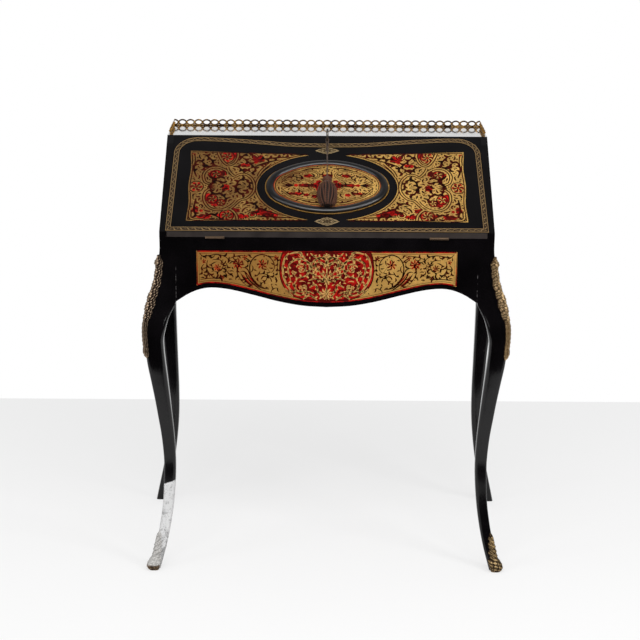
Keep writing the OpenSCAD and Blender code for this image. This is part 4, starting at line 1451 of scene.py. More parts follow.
@dataclass
class Oval:
    """The black moulding of the oval with its string of brass beads."""

    frame: Frame
    a: float = 133.0
    b_share: float = 0.279
    up_share: float = 0.4557
    end_r: float = 62.0
    bead_d: float = 3.0
    width: float = 16.0
    height: float = 8.0
    edge: float = 2.4
    plate_t: float = 5.0
    bead_pitch: float = 3.3

    @property
    def b(self) -> float:
        """Half height of the oval."""
        return self.frame.slant_l * self.b_share

    @property
    def up(self) -> float:
        """Height of its middle up the slope."""
        return self.frame.slant_l * self.up_share

    def put(self, x: float, s: float, n: float) -> Vector:
        """A place on the fall, from the oval's middle."""
        return self.frame.on_fall(x, self.up + s, n)

    def line(self, inset: float, steps: int) -> list[Point2]:
        """Points of the four-centred oval, from its middle.

        Args:
            inset: Distance inside its outer line.
            steps: Points on each of the four arcs.

        Returns:
            The points.
        """
        top_r = (self.a**2 + self.b**2 - 2 * self.a * self.end_r) / (2 * (self.b - self.end_r))
        end_x, top_y = self.a - self.end_r, self.b - top_r
        join = math.atan2(-top_y, end_x)
        arcs = (
            (end_x, 0.0, self.end_r, -join, join),
            (0.0, top_y, top_r, join, math.pi - join),
            (-end_x, 0.0, self.end_r, math.pi - join, math.pi + join),
            (0.0, -top_y, top_r, math.pi + join, 2 * math.pi - join),
        )
        line = []
        for x, y, r, start, end in arcs:
            for i in range(steps):
                angle = start + (end - start) * i / steps
                line.append((x + (r - inset) * math.cos(angle), y + (r - inset) * math.sin(angle)))
        return line

    def even_line(self, inset: float) -> list[Point2]:
        """Evenly spaced points on the oval, about a bead's pitch apart.

        Args:
            inset: Distance inside the outer line.

        Returns:
            The points.
        """
        dense = self.line(inset, 400)
        dense.append(dense[0])
        steps = [math.dist(p, q) for p, q in zip(dense, dense[1:])]
        total = sum(steps)
        count = round(total / self.bead_pitch)
        line, walked, k = [], 0.0, 0
        for i in range(count):
            target = total * i / count
            while walked + steps[k] < target:
                walked += steps[k]
                k += 1
            t = (target - walked) / steps[k]
            p, q = dense[k], dense[k + 1]
            line.append((p[0] + (q[0] - p[0]) * t, p[1] + (q[1] - p[1]) * t))
        return line

    def moulding(self) -> None:
        """Makes the round black moulding."""
        half, rise = self.width / 2, self.height - self.edge
        section = [(self.bead_d + 0.02, 0.0)]
        for a in (math.pi * t for t in shares(16)):
            section.append((self.bead_d + half - half * math.cos(a), self.edge + rise * math.sin(a)))
        section.append((self.bead_d + self.width, 0.0))
        lines = [self.line(inset, 40) for inset, _ in section]
        rings = [
            [self.put(*place, n) for place, (_, n) in zip(places, section)] for places in zip(*lines)
        ]
        surface = Surface()
        surface.skin([*rings, rings[0]], closed=False)
        name = "oval_round_moulding"
        surface.ride(name, Finish.MOULDED, Body.FALL, Slot.LACQUER, "oval_moulding")

    def beads(self) -> None:
        """Makes the string of beads around the moulding and the wire that carries it."""
        c, k = math.cos(self.frame.slope), math.sin(self.frame.slope)
        turn = Matrix(((1, 0, 0), (0, c, -k), (0, k, c)))
        surface = Surface()
        r = self.bead_d / 2
        for place in self.even_line(r):
            surface.blob(self.put(*place, 0.75 * r), (r * MM, r * MM, 0.8 * r * MM), turn)
        wire = [self.put(*place, 0.35) for place in self.line(r, 40)]
        surface.tube(wire, lambda _: 0.0009, 6, closed=True)
        surface.ride("oval_beading", Finish.GALLERY, Body.FALL, Slot.BRASS, "oval_bead")

    def build(self) -> None:
        """Makes the moulding and the beads."""
        self.moulding()
        self.beads()


# Inlay


class Tone(Enum):
    """Colours of the inlay, by the height at which each lies over the plate."""

    RED = 0.04
    DARK = 0.07
    GOLD = 0.10


class Taper(Enum):
    """How the width of a stroke runs along it."""

    EVEN = "even"
    LEAF = "leaf"
    CURL = "curl"

    def share(self, t: float) -> float:
        """Share of the full width at a share of the length.

        Args:
            t: Share of the length, from 0 to 1.

        Returns:
            Share of the width.
        """
        if self is Taper.EVEN:
            return 1.0
        if self is Taper.LEAF:
            return 0.12 + 0.88 * math.sin(math.pi * t) ** 0.8
        return 0.25 + 0.75 * math.sin(math.pi * min(1.0, 0.15 + t)) ** 0.7


def is_within(outline: Sequence[Point2], u: float, v: float) -> bool:
    """Whether a place lies inside an outline.

    Args:
        outline: The outline.
        u: Place across.
        v: Place up.

    Returns:
        True inside it.
    """
    crossed = False
    for (a, b), (c, d) in zip(outline, [*outline[1:], outline[0]]):
        if (b > v) != (d > v) and u < (c - a) * (v - b) / (d - b) + a:
            crossed = not crossed
    return crossed


@dataclass
class Inlay:
    """Flat inlay drawn in strokes on one plate, with one sheet for each colour."""

    name: str
    put: Put
    outline: Sequence[Point2]
    hand: int = 1
    level: float = 0.2
    leaf_share: float = 0.42
    cell: float = 0.6
    curl_step: float = 1.7
    sheets: dict[Tone, Surface] = field(default_factory=lambda: {tone: Surface() for tone in Tone})
    taken: set[tuple[int, int]] = field(default_factory=set)

    def at(self, tone: Tone, u: float, v: float) -> Vector:
        """A place of the drawing on the plate."""
        return self.put(self.hand * u, v, self.level + tone.value)

    def face(self, tone: Tone, outline: Sequence[Point2]) -> None:
        """Adds one flat face, whose corners run counter-clockwise from in front.

        Args:
            tone: Its colour.
            outline: Its corners.
        """
        sheet = self.sheets[tone]
        ids = sheet.add(self.at(tone, u, v) for u, v in outline[:: self.hand])
        sheet.faces.append(tuple(ids))

    def mark(self, u: float, v: float, reach: float) -> None:
        """Marks the ground round a place as taken.

        Args:
            u: Place across.
            v: Place up.
            reach: Radius of the ground.
        """
        r = math.ceil(reach / self.cell)
        i, j = round(u / self.cell), round(v / self.cell)
        for a, b in product(range(-r, r + 1), repeat=2):
            if a * a + b * b <= r * r:
                self.taken.add((i + a, j + b))

    def cover(self, outline: Sequence[Point2]) -> None:
        """Marks the ground inside an outline as taken.

        Args:
            outline: The outline.
        """
        spans = []
        for values in zip(*outline):
            low, high = round(min(values) / self.cell), round(max(values) / self.cell)
            spans.append(range(low, high + 1))
        for i, j in product(*spans):
            if is_within(outline, i * self.cell, j * self.cell):
                self.taken.add((i, j))

    def is_free(self, u: float, v: float, reach: float) -> bool:
        """Whether the ground round a place is free and inside the plate.

        Args:
            u: Place across.
            v: Place up.
            reach: Radius.

        Returns:
            True if it is free.
        """
        r = max(1, math.ceil(reach / self.cell))
        i, j = round(u / self.cell), round(v / self.cell)
        around = ((i + a, j + b) in self.taken for a, b in product(range(-r, r + 1), repeat=2))
        sides = ((u + reach, v), (u - reach, v), (u, v + reach), (u, v - reach))
        return not any(around) and all(is_within(self.outline, *side) for side in sides)

    def stroke(
        self, tone: Tone, points: Sequence[Point2], width: float, taper: Taper = Taper.LEAF,
        steps: int = 6, margin: float = 0.5, is_edge: bool = False,
    ) -> None:
        """Draws one stroke, cut off at the outline.

        Args:
            tone: Its colour.
            points: Points that it runs through.
            width: Its greatest width.
            taper: How the width runs.
            steps: Steps between two points.
            margin: Ground kept clear beside it.
            is_edge: Whether it may lie outside the outline.
        """
        line = smooth_line(points, steps)
        last = len(line) - 1
        runs: list[list[list[Vector]]] = [[]]
        for i, (u, v) in enumerate(line):
            if not (is_edge or is_within(self.outline, u, v)):
                runs.append([])
                continue
            before, after = line[max(i - 1, 0)], line[min(i + 1, last)]
            way = Vector((after[0] - before[0], after[1] - before[1]))
            way = way.normalized() if way.length > 1e-9 else Vector((1.0, 0.0))
            half = width * taper.share(i / last) / 2
            side = self.hand * half
            pair = ((u - way.y * side, v + way.x * side), (u + way.y * side, v - way.x * side))
            runs[-1].append([self.at(tone, *place) for place in pair])
            self.mark(u, v, half + margin)
        for rows in runs:
            if len(rows) > 1:
                self.sheets[tone].skin(rows, closed=False)

    def edge(self, tone: Tone, outline: Sequence[Point2], width: float) -> None:
        """Draws a line all along an outline."""
        self.stroke(tone, [*outline, outline[0]], width, Taper.EVEN, 1, is_edge=True)

    def band(self, points: Sequence[Point2], width: float = 3.0, edge: float = 2.6) -> None:
        """Draws a brass strap edged with dark lines."""
        self.stroke(Tone.DARK, points, width + 2 * edge, Taper.EVEN, 8, 0.6)
        self.stroke(Tone.GOLD, points, width, Taper.EVEN, 8, 0.6)

    def ring(self, tone: Tone, centre: Point2, radii: Point2, width: float) -> None:
        """Draws a ring."""
        line = [(centre[0] + radii[0] * x, centre[1] + radii[1] * y) for x, y in circle(28)]
        self.stroke(tone, [*line, line[0]], width, Taper.EVEN, 2)

    def disc(
        self, tone: Tone, centre: Point2, radii: Point2, waves: int = 0, is_ground: bool = False
    ) -> None:
        """Fills a disc that shrinks where it would leave the outline.

        Args:
            tone: Its colour.
            centre: Its middle.
            radii: Its half sizes.
            waves: Lobes of its edge.
            is_ground: Whether other strokes may run over it.
        """
        line = []
        for k, (x, y) in enumerate(circle(48)):
            r = 1 + (0.12 * math.cos(waves * 2 * math.pi * k / 48) if waves else 0)
            u, v = centre
            while r > 0.1 and not is_within(self.outline, u, v) or (u, v) == centre:
                u, v = centre[0] + radii[0] * r * x, centre[1] + radii[1] * r * y
                r -= 0.08
            line.append((u, v))
        self.face(tone, line)
        if not is_ground:
            self.mark(*centre, max(radii))

    def flower(self, tone: Tone, centre: Point2, radius: float, petals: int, turn: float = 0.0) -> None:
        """Draws a flower of slender petals.

        Args:
            tone: Its colour.
            centre: Its middle.
            radius: Its radius.
            petals: Number of petals.
            turn: Angle of the first, in radians.
        """
        for k in range(petals):
            a = turn + 2 * math.pi * k / petals
            x, y = radius * math.cos(a), radius * math.sin(a)
            petal = [
                (centre[0] + x * s - 0.1 * y * bend, centre[1] + y * s + 0.1 * x * bend)
                for s, bend in ((0.16, 0.0), (0.6, 1.0), (1.0, 0.0))
            ]
            self.stroke(tone, petal, radius * 2.2 / petals, steps=5)

    def vine(
        self, tone: Tone, points: Sequence[Point2], width: float, leaf: float, gap: float,
        side: int = 0,
    ) -> None:
        """Draws a stem with leaves.

        Args:
            tone: Its colour.
            points: Points of the stem.
            width: Width of the stem.
            leaf: Length of the leaves.
            gap: Distance between leaves.
            side: 1 or -1 for leaves on one side, 0 for both in turn.
        """
        self.stroke(tone, points, width, Taper.CURL, 8)
        line = smooth_line(points, 10)
        walked, due, hand = 0.0, gap * 0.6, 1
        for (a, b), (c, d) in zip(line, line[1:]):
            walked += math.hypot(c - a, d - b)
            if walked < due:
                continue
            due += gap
            hand = side or -hand
            heading = math.atan2(d - b, c - a) + hand * 0.9
            tip = (c + leaf * math.cos(heading), d + leaf * math.sin(heading))
            bow = heading - hand * 0.55
            middle = (c + 0.55 * leaf * math.cos(bow), d + 0.55 * leaf * math.sin(bow))
            if is_within(self.outline, *tip) and is_within(self.outline, *middle):
                self.stroke(tone, [(c, d), middle, tip], leaf * self.leaf_share, steps=5)

    def scatter(
        self, tone: Tone, seed: int, tries: int, steps: tuple[int, int], width: float, gap: float
    ) -> None:
        """Fills free ground with curls that grow until they meet something.

        Args:
            tone: Their colour.
            seed: Seed of the random numbers.
            tries: How many places are tried.
            steps: Smallest and greatest number of steps of a curl.
            width: Their width.
            gap: Ground kept free beside them; below 0 they may touch.
        """
        dice = random.Random(seed)
        spans = [(min(values), max(values)) for values in zip(*self.outline)]
        reach = width / 2 + gap
        for _ in range(tries):
            u, v = (dice.uniform(*span) for span in spans)
            heading = dice.uniform(0, 2 * math.pi)
            bend = dice.choice(SIDES) * dice.uniform(0.03, 0.24)
            points = []
            while len(points) < steps[1] and self.is_free(u, v, reach):
                points.append((u, v))
                heading += bend
                bend *= 1.1
                u += self.curl_step * math.cos(heading)
                v += self.curl_step * math.sin(heading)
            if len(points) >= steps[0]:
                taper = Taper.CURL if len(points) > 3 else Taper.EVEN
                self.stroke(tone, points, width * dice.uniform(0.85, 1.1), taper, 2, 0.3)

    def finish(self, gold: Finish, body: Body) -> None:
        """Makes the sheets, with a finish for the golden one, on a body.

        Args:
            gold: Finish of the golden sheet.
            body: The body they ride on.
        """
        looks = {Tone.RED: Finish.RED, Tone.DARK: Finish.BLACK, Tone.GOLD: gold}
        for tone, sheet in self.sheets.items():
            if sheet.faces:
                name = f"{self.name}_{tone.name.lower()}"
                sheet.ride(name, looks[tone], body, Slot.MARQUETRY, smooth=False)


@dataclass
class FallPanel:
    """One of the two side panels of the fall: brass ground with dark and red scrollwork.

    The sketch's corners are its foot and its top, each from the panel's outer to its inner end.
    """

    frame: Frame
    oval: Oval
    hand: int
    foot: float = 32.6
    top_down: float = 51.5
    edge_x: float = 293.0
    ear: float = 3.0
    tip_x: float = 40.0
    gap: float = 17.0
    foot_rise: float = 5.0
    top_fall: float = 13.0
    sketch: tuple[Point2, ...] = ((265, 880), (1330, 885), (330, 300), (1340, 325))
    ink: Inlay = field(init=False)

    def __post_init__(self) -> None:
        """Starts the drawing."""
        name = f"{'left' if self.hand < 0 else 'right'}_scroll"
        line = self.outline(-4.2)
        self.ink = Inlay(name, self.frame.on_fall, line, self.hand, leaf_share=0.52)

    def outline(self, grow: float) -> list[Point2]:
        """The panel's outline grown by a margin, outwards from the middle and up the slope.

        Args:
            grow: The margin.

        Returns:
            The outline.
        """
        top, foot = self.frame.slant_l - self.top_down + grow, self.foot - grow
        a, b = self.oval.a + self.gap - grow, self.oval.b + self.gap + 3 - grow
        tip = math.acos((self.tip_x - grow) / a)
        line = []
        for t in shares(24):
            ear = self.ear * math.cos(2 * math.pi * t) ** 2
            line.append((self.edge_x + ear + grow, foot + (top - foot) * t))
        for angle in (tip * (1 - 2 * i / 36) for i in range(37)):
            line.append((a * math.cos(angle), self.oval.up + b * math.sin(angle)))
        return line

    def at(self, x: float, y: float) -> Point2:
        """Turns a place of the sketch into one on the panel, outwards from the middle.

        Args:
            x: Place across the sketch.
            y: Place down the sketch.

        Returns:
            Place on the panel.
        """
        (ax, ay), (bx, by), (cx, cy), (dx, dy) = self.sketch
        low = ay + (by - ay) * (x - ax) / (bx - ax)
        high = cy + (dy - cy) * (x - cx) / (dx - cx)
        v = (low - y) / (low - high)
        start, end = ax + (cx - ax) * v, bx + (dx - bx) * v
        u = (x - start) / (end - start)
        base = self.foot + self.foot_rise * u
        crown = self.frame.slant_l - self.top_down - self.top_fall * u
        outer = self.edge_x + self.ear
        return outer - (outer - self.tip_x) * u, base + (crown - base) * v

    def line(self, *places: Point2) -> list[Point2]:
        """Turns places of the sketch into places on the panel."""
        return [self.at(*place) for place in places]

    def straps(self) -> None:
        """Draws the main straps and scrolls."""
        self.ink.edge(Tone.DARK, self.outline(-3.6), 2.4)
        for line in (
            ((415, 300), (372, 292), (338, 310), (352, 345), (350, 400), (325, 460), (308, 520),
             (318, 565)),
            ((318, 640), (300, 680), (292, 740), (302, 810), (300, 850), (330, 868), (420, 872)),
            ((640, 440), (655, 475), (700, 515), (745, 500), (800, 500), (850, 540), (868, 600),
             (852, 655), (800, 700), (745, 715), (705, 745), (650, 790)),
            ((640, 500), (632, 470), (560, 440), (480, 452), (432, 500), (440, 560), (480, 580)),
            ((480, 622), (440, 650), (428, 712), (474, 778), (570, 796), (655, 765), (705, 722)),
            ((590, 800), (650, 790), (700, 830), (715, 880)),
            ((560, 300), (590, 370), (640, 418), (700, 400), (735, 340), (730, 305)),
            ((1010, 400), (930, 470), (895, 540), (890, 600), (905, 680), (960, 760), (1050, 815)),
        ):
            self.ink.band(self.line(*line))
        for place in ((870, 345), (845, 838)):
            centre, r = self.at(*place), 8.5
            self.ink.disc(Tone.RED, centre, (r * 0.5, r * 0.5))
            self.ink.ring(Tone.DARK, centre, (r * 0.55, r * 0.55), 2.0)
            self.ink.ring(Tone.DARK, centre, (r + 0.6, r + 0.6), 2.2)

    def medallions(self) -> None:
        """Draws the red medallions with their flowers and the loose red blots."""
        for x, y, a, b, petals in (
            (365, 603, 15, 17, 6), (640, 350, 15.5, 19, 7), (620, 842, 15, 17, 7),
            (540, 498, 12, 13, 5), (500, 705, 11, 14, 5), (575, 735, 9, 10, 5),
        ):
            centre = self.at(x, y)
            self.ink.disc(Tone.RED, centre, (a * 0.8, b * 0.8), petals)
            self.ink.flower(Tone.DARK, centre, a * 0.75, petals, 0.1)
            self.ink.ring(Tone.DARK, centre, (a, b), 2.6)
            for k in range(petals):
                turn = 2 * math.pi * k / petals + 0.4
                petal = [
                    (centre[0] + r * a * math.cos(turn + bend), centre[1] + r * b * math.sin(turn + bend))
                    for r, bend in ((0.18, 0.0), (0.5, 0.35), (0.82, 0.0))
                ]
                self.ink.stroke(Tone.GOLD, petal, 2.4, steps=5)
        for x, y, a, b in (
            (560, 490, 20, 9), (510, 500, 9, 11), (470, 690, 12, 12), (540, 735, 18, 11),
            (610, 840, 20, 9), (930, 820, 22, 8), (420, 850, 14, 8), (1000, 840, 18, 6),
            (700, 330, 9, 12), (910, 370, 14, 9), (790, 420, 12, 6), (350, 790, 7, 10),
            (620, 610, 8, 10), (340, 340, 8, 8), (760, 850, 14, 6), (690, 800, 12, 7),
        ):
            self.ink.disc(Tone.RED, self.at(x, y), (a, b), 5, is_ground=True)
        for x, y, r in (
            (600, 480, 5), (620, 608, 5.5), (930, 342, 5), (885, 392, 4.5), (930, 822, 6),
            (1000, 842, 4), (400, 800, 4), (470, 842, 4), (740, 848, 4.5),
        ):
            self.ink.disc(Tone.RED, self.at(x, y), (r, r), 5)

    def foliage(self) -> None:
        """Draws the vines, the lozenge leaf and the palmette."""
        for line, side in (
            (((430, 330), (470, 345), (520, 400), (500, 430), (460, 420)), 0),
            (((370, 520), (350, 450), (380, 390), (430, 400), (440, 440)), 0),
            (((360, 700), (340, 770), (350, 830), (400, 850)), 0),
            (((420, 860), (480, 830), (540, 850), (560, 870)), 0),
            (((770, 350), (830, 400), (880, 450), (850, 480), (810, 460)), 0),
            (((900, 370), (990, 360), (1080, 350), (1180, 345), (1270, 335)), 0),
            (((880, 430), (960, 400), (1060, 375), (1130, 370)), 1),
            (((760, 760), (830, 740), (880, 760), (900, 800), (870, 810)), 0),
            (((890, 850), (980, 855), (1080, 862), (1180, 868), (1270, 872)), 0),
            (((900, 790), (980, 810), (1060, 835), (1120, 850)), -1),
            (((700, 640), (730, 560), (790, 540), (830, 590), (800, 640)), 0),
            (((700, 590), (740, 660), (800, 660)), 0),
            (((460, 610), (520, 560), (580, 560), (600, 590)), 0),
            (((460, 615), (520, 660), (580, 655), (600, 630)), 0),
            (((470, 500), (500, 530), (560, 530), (600, 510)), 0),
            (((740, 380), (790, 330), (830, 320)), 0),
            (((690, 430), (740, 440), (780, 480)), 0),
            (((660, 690), (620, 700), (600, 680)), 0),
        ):
            self.ink.vine(Tone.DARK, self.line(*line), 4.4, 12.5, 8.5, side)
        x, y = self.at(740, 606)
        for hand in SIDES:
            self.ink.stroke(Tone.DARK, [(x + 11, y), (x + 2, y + hand * 6.5), (x - 12, y)], 1.4, Taper.EVEN)
        self.ink.stroke(Tone.DARK, [(x + 7, y), (x - 8, y)], 1.6)
        x, y = self.at(470, 606)
        for a in (k * 0.42 for k in range(-3, 4)):
            tip = (x - 17 * math.cos(a), y + 15 * math.sin(a))
            self.ink.stroke(Tone.DARK, [(x, y), ((x + tip[0]) / 2, y + 9 * math.sin(a)), tip], 3.2)

    def build(self) -> None:
        """Makes the panel's inlay."""
        self.straps()
        self.medallions()
        self.foliage()
        self.ink.scatter(Tone.DARK, 3, 12000, (6, 16), 4.0, -0.2)
        self.ink.scatter(Tone.DARK, 4, 16000, (3, 8), 3.8, -0.4)
        self.ink.scatter(Tone.DARK, 5, 12000, (2, 3), 3.2, -0.5)
        self.ink.finish(Finish.FALL_SHEET, Body.FALL)


@dataclass
class OvalPanel:
    """The raised oval of marquetry, drawn once and mirrored to four quarters."""

    oval: Oval
    ink: Inlay = field(init=False)

    def __post_init__(self) -> None:
        """Starts the drawing."""
        line = self.line(3.4)
        self.ink = Inlay("oval_scroll", self.oval.put, line, level=self.oval.plate_t)

    def line(self, inset: float) -> list[Point2]:
        """A line round the panel at an inset from the moulding."""
        return self.oval.line(self.oval.bead_d + self.oval.width + inset, 24)

    def quarter(self, across: int, up: int) -> None:
        """Draws the straps and vines of one quarter.

        Args:
            across: 1 for the right, -1 for the left.
            up: 1 for the upper half, -1 for the lower.
        """

        def turned(*places: Point2) -> list[Point2]:
            """Mirrors places into this quarter."""
            return [(across * x, up * y) for x, y in places]

        scroll = ((96, 14), (80, 32), (58, 42), (36, 46), (22, 40), (18, 30), (26, 23), (36, 26))
        self.ink.band(turned(*scroll), 2.2, 1.8)
        self.ink.band(turned((62, 8), (52, 18), (40, 14), (30, 6)), 2.0, 1.6)
        self.ink.disc(Tone.RED, turned((44, 30))[0], (6.5, 5), 5)
        self.ink.disc(Tone.RED, turned((18, 12))[0], (6, 4.5), 5)
        for line in (
            ((98, 8), (88, 22), (72, 28), (62, 24)), ((60, 33), (52, 24), (58, 17)),
            ((12, 52), (28, 54), (46, 50), (62, 42)), ((8, 44), (10, 34), (6, 26), (10, 18)),
            ((34, 38), (28, 32), (30, 28)), ((50, 4), (40, 3), (28, 2), (20, 4)),
        ):
            self.ink.vine(Tone.DARK, turned(*line), 3.4, 9.5, 8.0)

    def middle(self) -> None:
        """Draws the red bar and blots and the upright sprays of the middle."""
        self.ink.stroke(Tone.RED, [(-58, 0), (-20, 0.8), (20, 0.8), (58, 0)], 2.6)
        for x, y, a, b in (
            (-48, 0, 14, 6), (48, 0, 14, 6), (-24, 0, 11, 9), (24, 0, 11, 9), (-66, -26, 16, 5),
            (66, -26, 10, 4), (0, 30, 12, 6), (-40, 30, 9, 6), (40, 30, 9, 6), (-20, -34, 14, 6),
        ):
            self.ink.disc(Tone.RED, (x, y), (a, b), 5, is_ground=True)
        for up in SIDES:
            for bow in (5, -5):
                self.ink.stroke(Tone.DARK, [(0, up * 6), (bow, up * 22), (0, up * 40)], 1.6)
            self.ink.stroke(Tone.RED, [(0, up * 14), (0, up * 22), (0, up * 32)], 3.6)
            self.ink.flower(Tone.DARK, (0, up * 48), 7, 5, up * math.pi / 2)
        self.ink.flower(Tone.GOLD, (0, 0), 8, 8)

    def build(self) -> None:
        """Makes the oval's inlay."""
        self.ink.edge(Tone.RED, self.line(0.7), 1.2)
        self.ink.edge(Tone.DARK, self.line(3.6), 2.0)
        for across in SIDES:
            for a in (k * 0.36 for k in range(-2, 3)):
                c, s = math.cos(a), math.sin(a)
                fan = [(70, 0), (70 + 17 * c, 8 * s), (70 + 31 * c, 19 * s)]
                self.ink.stroke(Tone.DARK, [(across * x, y) for x, y in fan], 3.0)
            self.ink.disc(Tone.RED, (across * 66, 0), (4.5, 4.5), 5)
            for up in SIDES:
                self.quarter(across, up)
        self.middle()
        self.ink.scatter(Tone.DARK, 11, 8000, (5, 14), 3.4, -0.2)
        self.ink.scatter(Tone.DARK, 13, 12000, (3, 7), 3.2, -0.3)
        self.ink.scatter(Tone.DARK, 12, 9000, (2, 3), 2.8, -0.4)
        self.ink.finish(Finish.FALL_SHEET, Body.FALL)


@dataclass
class ApronInlay:
    """Marquetry of the front apron: brass sides and a red cartouche with brass scrolls.

    The sketch has its middle line at sketch_x and the plate's top at sketch_y.
    """

    frame: Frame
    half_l: float = 316.0
    end_x: float = 272.5
    top_down: float = 28.5
    edge: float = 10.0
    sketch_x: float = 1525.0
    sketch_y: float = 62.0
    sketch_w: float = 0.187
    sketch_h: float = 0.1903
    cartouche_gap: float = 3.2
    knots: tuple[Point2, ...] = (
        (0, 148.5), (0.16, 145.5), (0.32, 136.5), (0.48, 123.5), (0.64, 111.5), (0.76, 107.5),
        (0.84, 111), (0.92, 121.5), (1, 137.9),
    )
    ink: Inlay = field(init=False)

    def __post_init__(self) -> None:
        """Starts the drawing."""
        self.ink = Inlay("apron_scroll", self.frame.on_apron, self.outline(4.2))

    @property
    def top(self) -> float:
        """Height of the plate's top."""
        return self.frame.joint_h - self.top_down

    def foot(self, x: float, margin: float) -> float:
        """Height of the inlay's lower edge."""
        return self.frame.joint_h - curve_at(self.knots, abs(x) / self.half_l) + self.edge + margin

    def outline(self, margin: float) -> list[Point2]:
        """The plate's outline shrunk by a margin, counter-clockwise from in front.

        Args:
            margin: The margin.

        Returns:
            The outline.
        """
        end, top = self.end_x - margin, self.top - margin
        foot = [(end * (i / 40), self.foot(end * i / 40, margin)) for i in range(-40, 41)]
        return [*foot, (end, top), (-end, top)]

    def line(self, *places: Point2) -> list[Point2]:
        """Turns places of the sketch into places on the right half of the apron.

        Args:
            places: Places of the sketch.

        Returns:
            Places on the apron.
        """
        return [
            ((self.sketch_x - x) * self.sketch_w, self.top - (y - self.sketch_y) * self.sketch_h)
            for x, y in places
        ]

    def half_cartouche(self) -> list[Point2]:
        """Right half of the red middle's outline, clockwise from the top of the middle line.

        Returns:
            The outline.
        """
        gap = self.cartouche_gap
        line = self.line(
            (1035, 72), (1012, 130), (1002, 200), (998, 290), (1016, 400), (1066, 490),
            (1140, 562), (1240, 600),
        )
        side = [(x, max(z, self.foot(x, gap))) for x, z in smooth_line(line, 5)]
        below = [(x, self.foot(x, gap)) for x in (40.0, 25.0, 10.0, 0.0)]
        return [(0.0, side[0][1]), *side, *below]

    def ground(self) -> None:
        """Lays the red cartouche and the lines around it and around the plate."""
        half = self.half_cartouche()
        cartouche = [*((-x, z) for x, z in half), *reversed(half[1:-1])]
        self.ink.face(Tone.RED, cartouche)
        self.ink.edge(Tone.RED, self.outline(1.4), 2.8)
        self.ink.edge(Tone.DARK, self.outline(5.4), 0.9)
        self.ink.edge(Tone.DARK, cartouche, 2.0)

    def wing(self) -> None:
        """Draws the dark vines and the flowers on the brass side."""
        for line, width, leaf, gap in (
            (((105, 95), (140, 125), (200, 118), (290, 105), (370, 118), (420, 150), (480, 190),
              (535, 205)), 2.2, 10, 11),
            (((190, 170), (180, 260), (220, 330), (290, 375), (370, 340), (400, 290)), 2.1, 10, 11),
            (((110, 385), (240, 370), (330, 372), (380, 360), (440, 330)), 2.0, 9, 11),
            (((150, 215), (125, 250), (135, 320), (160, 345)), 1.8, 9, 10),
            (((400, 200), (412, 240), (400, 285)), 1.7, 8, 10),
            (((250, 160), (330, 165), (365, 210), (350, 270), (300, 300), (250, 280),
              (240, 240)), 1.8, 8, 10),
            (((540, 230), (520, 290), (545, 360), (600, 430), (680, 480)), 2.0, 9, 11),
            (((430, 150), (520, 120), (610, 110), (690, 100)), 1.8, 9, 11),
            (((600, 150), (640, 190), (640, 240)), 1.7, 8, 10),
            (((760, 320), (830, 320), (900, 350), (960, 380)), 1.8, 9, 10),
            (((860, 300), (850, 380), (800, 420), (760, 400)), 1.8, 8, 10),
            (((940, 120), (975, 180), (970, 260), (975, 330)), 1.7, 8, 10),
        ):
            self.ink.vine(Tone.DARK, self.line(*line), width, leaf, gap)
        spiral = (
            (880, 490), (780, 472), (700, 395), (665, 290), (670, 200), (722, 128), (800, 102),
            (880, 128), (930, 190), (935, 262), (900, 302), (868, 270), (840, 240),
        )
        self.ink.stroke(Tone.DARK, self.line(*spiral), 2.6, Taper.CURL, 8)
        for line in (
            ((640, 260), (670, 340), (740, 430), (840, 488)),
            ((600, 290), (650, 380), (720, 448), (800, 505)),
            ((560, 312), (620, 402), (700, 470)),
        ):
            self.ink.stroke(Tone.DARK, self.line(*line), 3.4)
        for line in (((620, 300), (680, 385), (760, 455)), ((585, 330), (640, 405), (700, 455))):
            self.ink.stroke(Tone.RED, self.line(*line), 3.0)
        hook = self.line((900, 532), (912, 500), (960, 476), (1000, 495))
        self.ink.stroke(Tone.DARK, hook, 1.8, Taper.CURL)
        for x, y, r, petals in (
            (300, 250, 8, 7), (535, 210, 12, 8), (800, 215, 11, 7), (960, 140, 6, 5),
            (610, 135, 6, 5), (350, 360, 5, 5), (150, 180, 5, 5),
        ):
            centre = self.line((x, y))[0]
            self.ink.flower(Tone.RED, centre, r, petals)
            self.ink.disc(Tone.DARK, centre, (r * 0.2, r * 0.2))

    def scrolls(self) -> None:
        """Draws the brass scrolls of one half of the cartouche."""
        for width, *line in (
            (3.6, (1100, 85), (1052, 150), (1032, 260), (1046, 370), (1092, 460), (1160, 538),
             (1250, 560), (1300, 522), (1290, 482)),
            (2.6, (1120, 180), (1092, 260), (1112, 360), (1152, 450)),
            (3.1, (1110, 92), (1180, 76), (1240, 84), (1234, 125), (1205, 112)),
            (3.8, (1110, 200), (1170, 160), (1250, 150), (1312, 182), (1336, 242), (1312, 320),
             (1250, 352), (1180, 355), (1160, 320)),
            (3.1, (1180, 240), (1220, 210), (1270, 215), (1285, 262), (1255, 295), (1225, 280)),
            (3.1, (1180, 400), (1160, 440), (1190, 502), (1262, 520), (1300, 480), (1280, 440)),
            (3.1, (1525, 200), (1500, 150), (1440, 138), (1372, 180), (1350, 240), (1372, 280)),
            (2.6, (1500, 260), (1480, 200), (1430, 180), (1392, 215), (1400, 245)),
            (2.6, (1345, 252), (1400, 232), (1440, 290), (1500, 370)),
            (2.6, (1320, 392), (1400, 368), (1462, 400), (1512, 382)),
            (3.1, (1330, 470), (1400, 440), (1432, 520), (1480, 580), (1525, 600)),
            (2.9, (1250, 612), (1330, 562), (1402, 600), (1440, 640)),
            (2.6, (1340, 82), (1400, 130), (1470, 132), (1520, 125)),
            (2.4, (1060, 480), (1110, 530), (1170, 585)),
            (2.2, (1340, 300), (1380, 330), (1420, 340), (1470, 320)),
            (2.2, (1380, 540), (1340, 520), (1320, 545)),
        ):
